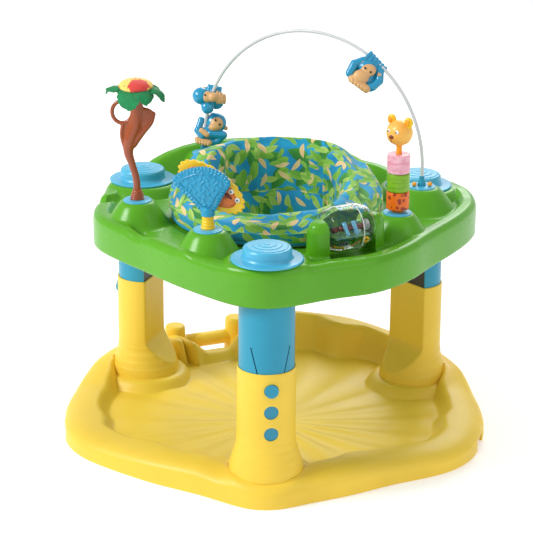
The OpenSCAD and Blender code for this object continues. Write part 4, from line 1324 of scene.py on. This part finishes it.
def plate(name, outline, front, back, material, body, bulge=0.0, centre=None, **extra):
    """A thick plate in the toy's upright plane, swelling towards its middle by bulge on both faces."""
    outline = np.asarray(outline, float)
    centre = outline.mean(0) if centre is None else np.asarray(centre, float)
    shares = [*np.linspace(0.02, 0.94, 30), 0.97, 1.0]
    rows = []
    for share in shares:
        ring = centre + (outline - centre) * share
        y = front - bulge * (1.0 - share ** 2) + (0.8 if share == 1.0 else 0.0)
        rows.append([(x, y, z) for x, z in ring])
    for share in reversed(shares):
        ring = centre + (outline - centre) * share
        y = back + bulge * (1.0 - share ** 2) - (0.8 if share == 1.0 else 0.0)
        rows.append([(x, y, z) for x, z in ring])
    return loft(name, fan_points(rows), material, body, cap_start=True, cap_end=True, **extra)


def add_fan():
    """The fan toy: its ringed stand, its quilted panel with a corded trim, and the head of its pin."""
    foot = (*FAN, TOY_Z + 3)
    stand = [(0, 0), (11.6, 0), (11.8, 2.5, 1), (10.4, 4, 1), (10.9, 7.5, 1), (9.6, 9, 1), (10.2, 12.5, 1),
             (9.2, 14, 1), (9.8, 18, 1), (9.2, 19.5, 0.8), (9.2, 23), (0, 23)]
    lathe("fan_stand", stand, TOY_YELLOW, "fan", at=foot, radius=0.5, sides=72, replaces=["fan_post"],
          slot="toy_yellow")
    neck = [(0, 22), (11.2, 22), (11.6, 24, 1), (10.2, 30, 3), (8, 36), (0, 36)]
    lathe("fan_neck", neck, FAN_BLUE, "fan", at=foot, radius=0.8, sides=64, slot="toy_blue")
    corners = [(-9, 30), (-24, 45), (-40, 60), (-53, 70), (-57, 76), (-50, 84), (-36, 92), (-20, 97.5),
               (-4, 99), (12, 96.5), (24, 91), (33, 83), (34, 77), (28, 68), (20, 54), (10, 34), (5, 29),
               (-3, 28)]
    outline = even_ring(closed_spline(corners, 6), 260)
    panel = plate("fan_quilt", outline, -2.5, 4.5, FAN_BLUE, "fan", bulge=2.5, centre=PANEL_CENTRE, sharp=70,
                  replaces=["fan_panel"], slot="toy_blue")
    quilt_bumps(panel)
    # a corded trim round the panel
    trim = even_ring(closed_spline(corners, 6), 330)
    path = fan_points([(x, 1.0, z) for x, z in trim])
    ribs = 4.3 + 0.75 * np.sin(np.arange(330) / 330.0 * 2 * math.pi * 41)
    tube("fan_trim", path, ribs, FAN_BLUE, "fan", sides=14, close_rows=True, sharp=80, slot="toy_blue")
    inner = even_ring(np.array(PANEL_CENTRE) + (trim - PANEL_CENTRE) * 0.79, 200)
    tube("fan_stitch_ridge", fan_points([(x, -4.1, z) for x, z in inner]), 1.0, FAN_BLUE, "fan", sides=8,
         close_rows=True, slot="toy_blue")
    pin_head = [(0, 3.4), (4, 3.2), (6.6, 1.6, 1.5), (7, 0), (0, 0)]
    lathe("fan_pin_head", pin_head, FAN_BLUE, "fan", at=tuple(fan_points([-6, 13, 62])),
          axis=(math.sin(FAN_YAW), math.cos(FAN_YAW), 0), sides=48, slot="toy_blue")


def quilt_bumps(panel):
    """Moves the quilted panel towards its front in a pattern of veins."""
    points = mesh_points(panel)
    x, z = points[:, 0] - FAN[0], points[:, 2] - TOY_Z
    ridge = np.sin(x * 0.55 + 1.4 * np.sin(z * 0.35)) * np.sin(z * 0.42 + 1.1 * np.sin(x * 0.3))
    points[:, 1] -= 1.5 * np.maximum(ridge, 0.0) ** 0.7
    move_points(panel, points)


def bird_ring(share, count=240, scallop=0.0):
    """Outline of the bird plate, tilted about its middle."""
    t = np.linspace(0, 2 * math.pi, count, endpoint=False)
    radius = 1.0 + scallop * np.abs(np.sin(t * 11.0))
    x, z = 64.5 * share * radius * np.cos(t), 31.0 * share * radius * np.sin(t)
    tilt = math.radians(-32.0)
    return np.stack([BIRD_CENTRE[0] + x * math.cos(tilt) - z * math.sin(tilt),
                     BIRD_CENTRE[1] + x * math.sin(tilt) + z * math.cos(tilt)], -1)


def add_bird():
    """The oval bird plate behind the fan, with a scalloped border, two eyes and a beak."""
    looks = {"centre": BIRD_CENTRE, "sharp": 60, "slot": "toy_orange"}
    plate("bird_border", bird_ring(0.94, scallop=0.07), 13.2, 18.6, TOY_YELLOW, "fan_bird", bulge=0.6,
          replaces=["fan_bird", "fan_pin"], **looks)
    plate("bird_face", bird_ring(0.76), 12.0, 19.8, TOY_ORANGE, "fan_bird", bulge=1.2, **looks)
    eye = [(0, 1.8), (2.4, 1.5), (4.2, 0.4), (4.4, -1.5), (0, -1.5)]
    pupil = [(0, 2.5), (1.4, 2.2), (1.9, 1.2), (1.9, 0), (0, 0)]
    for k, (x, z) in enumerate(((36.0, 62.0), (46.5, 48.5))):
        place = {"at": tuple(fan_points([x, 11.2, z])), "axis": FAN_FACING, "slot": "toy_orange"}
        lathe(f"bird_eye_{k + 1}", eye, EYE_WHITE, "fan_bird", sides=40, radius=0.5, **place)
        lathe(f"bird_pupil_{k + 1}", pupil, EYE_BLACK, "fan_bird", sides=32, radius=0.3, **place)
    beak = [tuple(fan_points([x, 11.6, z])) for x, z in ((24, 60), (30, 55), (36, 50.5))]
    blob("bird_beak", ball_path(beak, [2.6, 3.4, 2.0], 8, 0.7), SCENE_BROWN, "fan_bird", voxel=0.7,
         slot="toy_orange")


# ---------- bear toy ----------

def add_bear():
    """The bear toy: its post, three rings that turn on it, and the head."""
    stand = [(0, 431), (9.5, 431), (9.8, 432.6, 0.8), (8.4, 433.4, 0.5), (9.6, 434.6, 0.6), (9.6, 435.6),
             (4.9, 435.7), (4.9, 548), (0, 548)]
    lathe("bear_stand", stand, BEAR_ORANGE, "tray", at=(*BEAR, 0), sides=64, replaces=["bear_post"],
          slot="toy_yellow")
    rings = [("ring_orange", 436.0, 467.0, RING_ORANGE), ("ring_green", 467.5, 498.4, RING_GREEN),
             ("ring_pink", 499.0, 531.0, RING_PINK)]
    for name, low, high, material in rings:
        profile = [(5.2, low), (17.6, low, 1.0), (19.2, low + 1.6, 1.6), (19.3, (low + high) / 2),
                   (19.2, high - 1.6, 1.6), (17.6, high, 1.0), (5.2, high)]
        turned_ring(f"bear_{name}", profile, material, name, at=(*BEAR, 0), sides=72, radius=0.6,
                    replaces=[name], slot="toy_" + name.split("_")[1])
    add_bear_head()


def add_bear_head():
    """The bear's face, which looks outwards from the tray, with its ears, eyes, nose and mouth."""
    turn = Matrix.Rotation(math.radians(-38.0), 3, "Z")

    def place(x, y, z):
        p = turn @ Vector((x, y, z))
        return (BEAR[0] + p.x, BEAR[1] + p.y, 568.0 + p.z)

    def feature(name, balls, material, voxel, **extra):
        turned = [(place(*centre), radii, turn) for centre, radii in balls]
        blob(name, turned, material, "bear_head", voxel=voxel, slot="toy_yellow", **extra)

    feature("bear_face", [((0, 0, 0), (23.5, 20.5, 21.0)), ((0, -1, -6), (22.0, 19.0, 16.0)),
                          ((0, -14, -7), (12.0, 9.0, 9.0)), ((0, 0, -18), (8.0, 8.0, 7.0))],
            BEAR_SKIN, 1.3, smooth=6, replaces=["bear_head"])
    for side in (-1, 1):
        ear = [((side * 17.5, 1, 19), (8.6, 5.0, 9.2)), ((side * 14.5, 1, 12), (7.0, 5.0, 8.0))]
        feature(f"bear_ear_{side + 1}", ear, TOY_YELLOW, 0.9)
        inner = [((side * 18.0, -3.4, 19.5), (5.0, 2.0, 5.6))]
        feature(f"bear_ear_inner_{side + 1}", inner, BEAR_ORANGE, 0.7)
        white = [((side * 8.5, -17.8, 4.5), (3.6, 2.0, 3.6))]
        feature(f"bear_eye_{side + 1}", white, EYE_WHITE, 0.5)
        pupil = [((side * 8.2 - 0.8, -19.6, 4.2), (1.6, 0.8, 1.7))]
        feature(f"bear_pupil_{side + 1}", pupil, BEAR_BROWN, 0.3)
    feature("bear_nose", [((0, -23.0, -4), (4.6, 2.6, 3.6))], BEAR_BROWN, 0.6)
    mouth = [place(0, -22.6, -7.5), place(0, -22.8, -10), place(0, -21.8, -13)]
    tube("bear_mouth", spline(mouth, 6), 0.5, BEAR_BROWN, "bear_head", sides=8, slot="toy_yellow")


# ---------- drum toy ----------

def add_drum():
    """The clear barrel with its seam and rims, its two hubs, and what is inside."""
    axle = (*DRUM_AXIS, 0)
    centre = (*DRUM, DRUM_Z)
    outer = rounded([(6, 42), (24, 42, 4), (33.5, 36.5, 8), (38.6, 20, 14), (38.6, -20, 14), (33.5, -36.5, 8),
                     (24, -42, 4), (6, -42)], 4, 8)
    inner = outer * [0.955, 0.96]
    angles = np.radians(np.arange(112) * 360.0 / 112)

    def circle(radius, along):
        ring = np.stack([radius * np.cos(angles), radius * np.sin(angles), np.full(112, along)], -1)
        return along_axis(ring, axle) + np.array(centre)

    rows = [circle(r, h) for r, h in np.vstack([outer, inner[::-1]])]
    loft("drum_clear_barrel", rows, CLEAR, "drum", close_rows=True, replaces=["drum_barrel"],
         slot="clear_plastic")
    for name, width, at, material in (("drum_seam", 0.7, 12.0, WHITE), ("drum_rim_left", 0.9, -38.6, CLEAR),
                                      ("drum_rim_right", 0.9, 38.6, CLEAR)):
        ring = circle(np.interp(at, outer[::-1, 1], outer[::-1, 0]), at)
        tube(name, ring, width, material, "drum", sides=10, close_rows=True, slot="clear_plastic")
    hub = [(0, 44.5), (5, 44.5), (5, 42), (9, 41.5, 1), (9.5, 39), (0, 39)]
    for side in (-1, 1):
        lathe(f"drum_hub_{side + 1}", [(r, side * h, *bend) for r, h, *bend in hub], WHITE, "drum", at=centre,
              axis=axle, sides=48, radius=0.4, replaces=["drum_axles"] if side > 0 else (),
              slot="white_plastic")
    add_drum_scene()
    add_drum_beads()


def add_drum_scene():
    """The picture inside the drum: leaves, brown logs, a blue slide, water and a flower."""
    back = []
    for u in np.linspace(-34, 34, 18):
        squeeze = 30.0 - 9.0 * (abs(u) / 34.0) ** 3
        arc = np.linspace(-1.25, 1.25, 26)
        back.append([(u, -squeeze * math.cos(t), squeeze * math.sin(t)) for t in arc])
    panel = loft("drum_leafy_back", drum_points(back), SCENE_GREEN, "drum", closed=False, sharp=80,
                 slot="toy_blue", replaces=["drum_scene"])
    use_modifier(panel, "SOLIDIFY", thickness=1.0 * MM, offset=0.0)
    for k, u in enumerate((-25.0, -12.5, 3.0, 16.0, 26.0)):
        ends = drum_points([(u - 5.2, 6, 1.0 + (k % 2)), (u + 5.2, 6, 1.5)])
        path = np.linspace(ends[0], ends[1], 16)
        radii = 4.6 - 1.3 * np.abs(np.linspace(-1, 1, 16)) ** 5 + 0.35 * np.sin(np.arange(16) * 2.4)
        tube(f"drum_log_{k + 1}", path, radii, SCENE_BROWN, "drum", sides=20, slot="toy_orange")
    for k, u in enumerate((-8.0, 10.0)):
        path = drum_points([(u - 2, 9, 13), (u - 1, 13, 6), (u + 1, 15, -2), (u + 4, 15, -10)])
        tube(f"drum_slide_{k + 1}", spline(path, 8), 3.4, SCENE_BLUE, "drum", sides=16, slot="toy_blue")
    water = [[(u, v, -9.0 + 0.9 * math.sin(u * 0.5 + v * 0.3)) for v in np.linspace(-26, 26, 22)]
             for u in np.linspace(-32, 32, 30)]
    floor = loft("drum_water", drum_points(water), SCENE_GREEN, "drum", closed=False, sharp=80,
                 slot="toy_blue")
    use_modifier(floor, "SOLIDIFY", thickness=1.0 * MM, offset=0.0)
    petals = []
    for t in np.linspace(0, 2 * math.pi, 7, endpoint=False):
        petal = drum_points([24 + 4.4 * math.cos(t), 25.0, -17 + 4.0 * math.sin(t)])
        petals.append((tuple(petal), (2.8, 1.6, 2.6), None))
    blob("drum_flower", petals, TOY_YELLOW, "drum", voxel=0.7, slot="toy_orange")


def add_drum_beads():
    """Beads of six colours that lie at the bottom of the drum."""
    colours = [RING_PINK, BEAR_ORANGE, SCENE_BLUE, TOY_YELLOW, RING_GREEN, BEAR_BROWN]
    for k in range(22):
        u = -28.0 + 56.0 * ((k * 7) % 22) / 21.0
        v = 9.0 * math.sin(k * 2.1)
        low = -33.0 + 0.008 * u * u + 0.02 * v * v
        size = 2.0 + 0.7 * ((k * 5) % 3) / 2.0
        slope = size * 0.7
        bead = [(0, size), (slope, slope, 1), (size, 0, 1), (slope, -slope, 1), (0, -size)]
        lathe(f"drum_bead_{k + 1}", bead, colours[k % len(colours)], "drum",
              at=tuple(drum_points([u, v, low])), sides=20, radius=0.6,
              replaces=["drum_beads"] if k == 0 else (), slot="toy_orange")


# ---------- arch toys ----------

def on_arch(angle):
    """Point on the arch's rod, an angle round it from the left foot."""
    along = polar(ARCH_TURN, 1.0)
    flat = ARCH_MIDDLE + along * ARCH_R * math.cos(math.radians(angle))
    return np.array([flat[0], flat[1], ARCH_CENTRE_Z + ARCH_R * math.sin(math.radians(angle))])


def figure(name, body, origin, parts, material, slot, replaces=(), voxel=0.9):
    """A moulded figure part from (right, up, near, radius right, radius up, radius near) rows."""
    turn = Matrix((VIEW_RIGHT, VIEW_UP, VIEW_NEAR)).transposed()
    balls = []
    for right, up, near, *radii in parts:
        centre = origin + VIEW_RIGHT * right + VIEW_UP * up + VIEW_NEAR * near
        balls.append((tuple(centre), tuple(radii), turn))
    blob(name, balls, material, body, voxel=voxel, smooth=3, slot=slot, replaces=replaces)


def capsule(start, end, radius, count=6):
    """Rows for figure(): a limb between two points."""
    start, end = np.array(start, float), np.array(end, float)
    return [(*(start + (end - start) * k / (count - 1)), radius, radius, radius) for k in range(count)]


def knuckles(count, start, end, step, radius):
    """Rows for figure(): fingers side by side, each a short limb."""
    rows = []
    for k in range(count):
        shift = np.array(step, float) * k
        rows += capsule(np.array(start) + shift, np.array(end) + shift, radius, 4)
    return rows


def add_monkey(name, angle, fur, tan, eyes):
    """A monkey that holds the rod at an angle round the arch: its fur, its skin and its eyes."""
    origin = on_arch(angle)
    eye_parts = [(x, y, w, 1.9, 2.3, 1.2) for x, y, w in eyes]
    figure(f"{name}_fur", name, origin, fur, FUR_BLUE, "toy_blue", replaces=[name])
    figure(f"{name}_skin", name, origin, tan, SKIN_TAN, "toy_orange")
    figure(f"{name}_eyes", name, origin, eye_parts, EYE_BLACK, "toy_blue", voxel=0.4)


def add_monkey_low():
    """The monkey that sits at the arch's left foot and hugs the rod."""
    fur = [(20, 17, 2, 19.5, 19, 15), (16, 31, 4, 7, 5, 7), (9, -3, 0, 17, 17, 13), (3, -4, -10, 13, 14, 9),
           (15, -18, 3, 12, 8, 9),
           *capsule((-7, 22, 2), (-13, 3, 4), 6.5), *capsule((-13, 3, 4), (-4, -8, 8), 7.5),
           *capsule((10, -4, 12), (33, -6, 9), 8.0), *capsule((33, -6, 9), (24, -16, 6), 7.0),
           *capsule((0, -14, 0), (-2, -27, 0), 6.0)]
    tan = [(21, 15, 10, 13.0, 13.5, 9.5), (17, 8, 14, 10.5, 7.5, 8), (38, 7, 4, 4.2, 4.2, 3),
           (5, 30, 4, 3.6, 3.6, 3),
           *capsule((-6, 2, 15), (4, -6, 17), 5.0), *capsule((-14, -14, 8), (8, -20, 10), 5.6),
           *[(-14 + 5 * k, -19 - k, 13, 2.6, 4.2, 3) for k in range(5)]]
    add_monkey("monkey_low", 1.5, fur, tan, [(19.5, 20.5, 20.4), (27.5, 12.8, 19.4)])


def add_monkey_high():
    """The monkey above it, seen from the side."""
    fur = [(-17, 6, 2, 16, 16, 14), (0, 2, -3, 17, 17, 12), (-5, -15, 2, 12, 12, 9), (11, -3, -8, 14, 15, 8),
           *knuckles(5, (-3, 13, 8), (-2, 25, 4), (5.2, -1.2, 0), 2.9),
           *capsule((-10, 14, 0), (4, 20, 2), 7.0), *capsule((-12, -8, 2), (-4, -18, 4), 6.5)]
    tan = [(-5, 4, 9, 11, 10.5, 8), (5, 3, 12, 9.5, 9, 8), (-10, 20, 2, 3.4, 3.4, 3),
           *[(13 + 4.4 * k, 3 - k, 9 - 0.6 * k * k, 3.0, 13 - k, 5) for k in range(4)]]
    add_monkey("monkey_high", 18.5, fur, tan, [(-9.0, 6.5, 16.6)])


def add_monkey_far():
    """The monkey that hangs from the right side of the arch."""
    fur = [(-15, -10, 0, 18, 14, 13), (-20, -26, -3, 19, 19, 13), (-11, -44, 3, 10, 9, 9),
           *knuckles(6, (-19, 5, 4), (-9, 15, 2), (4.9, -5.3, 0), 3.4),
           *capsule((-22, 2, 2), (-38, -4, 3), 7.0), *capsule((-38, -4, 3), (-46, -20, 4), 7.8),
           *capsule((6, -18, 2), (5, -34, 4), 7.5), *capsule((5, -34, 4), (-6, -44, 5), 7.5)]
    tan = [(-14, -16, 9, 13.5, 11.5, 8), (-27, -27, 10, 14.5, 13, 9), (-24, -1, 6, 4.6, 5, 3),
           (5, -24, 8, 4.0, 4.6, 3),
           *capsule((-42, -30, 6), (-18, -48, 8), 7.5),
           *[(-42 + 5.4 * k, -35 - 3.2 * k, 12, 3.1, 5.4, 3.6) for k in range(5)]]
    add_monkey("monkey_far", 125.0, fur, tan, [(-20.5, -12.8, 17.6), (-10.5, -20.0, 16.8)])


def add_arch_feet():
    """The blue cones where the rod leaves its sockets, and two beads on the right one."""
    cone = [(3.1, 431), (7.6, 431, 1.2), (6.8, 436, 3), (4.6, 443, 3), (4.4, 448, 1), (3.1, 448)]
    for side, foot in ARCH_FEET.items():
        lathe(f"arch_foot_{side}", cone, BLUE, "tray", at=(*foot, 0), radius=1, sides=48, slot="blue_plastic")
    bead = [(0, 4.2), (3.0, 3.4, 2), (4.6, 0, 2), (3.0, -3.2, 2), (0, -3.4)]
    for k, angle in enumerate((-150.0, -20.0)):
        spot = ARCH_FEET["right"] + polar(angle, 15.0)
        lathe(f"arch_bead_{k + 1}", bead, BEAR_ORANGE, "tray", at=(*spot, 434.6), radius=2, sides=32,
              replaces=["arch_beads"] if k == 0 else (), slot="toy_orange")


add_palm()
add_fan()
add_bird()
add_bear()
add_drum()
add_monkey_low()
add_monkey_high()
add_monkey_far()
add_arch_feet()


# ---------- CAD nodes that stay ----------

def paint(node, material):
    """Gives a CAD node its material."""
    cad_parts[node].data.materials.clear()
    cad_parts[node].data.materials.append(material)


ROD_GREY = plastic("rod_grey", (0.64, 0.65, 0.66), rough=0.3, coat=0.2)
STEEL = marbled("spring_steel", (0.62, 0.63, 0.66), (0.42, 0.43, 0.46), 90.0, (1.0, 1.0, 4.0), rough=0.28)
STEEL.node_tree.nodes["Principled BSDF"].inputs["Metallic"].default_value = 1.0


def add_spring(leg):
    """A coil spring between its seat in the upper leg and the leg cap, made at one fixed length. In the toy
    it shortens when the tray bounces.
    """
    turns, low, high = 9, 251.4, 397.6
    turned = np.linspace(0, turns, turns * 28 + 1)
    angles = turned * 2 * math.pi
    # the end turns lie close together
    rise = np.interp(turned, [0, 1, turns - 1, turns], [low, low + 3.0, high - 3.0, high])
    centre, _ = leg_place(leg)
    path = np.stack([centre[0] + 11.8 * np.cos(angles), centre[1] + 11.8 * np.sin(angles), rise], -1)
    spring = tube(f"coil_spring_{leg}", path, 1.4, STEEL, "legs", sides=10, replaces=[f"spring_{leg}"],
                  slot="steel")
    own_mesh(spring)


for leg_name in LEGS:
    add_spring(leg_name)
    paint(f"upper_leg_{leg_name}", BLUE)
    paint(f"button_{leg_name}", BLUE)
    paint(f"spring_tube_{leg_name}", BLACK)
for node_names, paint_material in (
        (("foot_left", "foot_right", "foot_rear"), YELLOW),
        (("foot_pins", "sleeve_screws"), STEEL),
        (("seat_ring", "seat_keeper"), WHITE),
        (("arch_rod",), ROD_GREY)):
    for node_name in node_names:
        paint(node_name, paint_material)
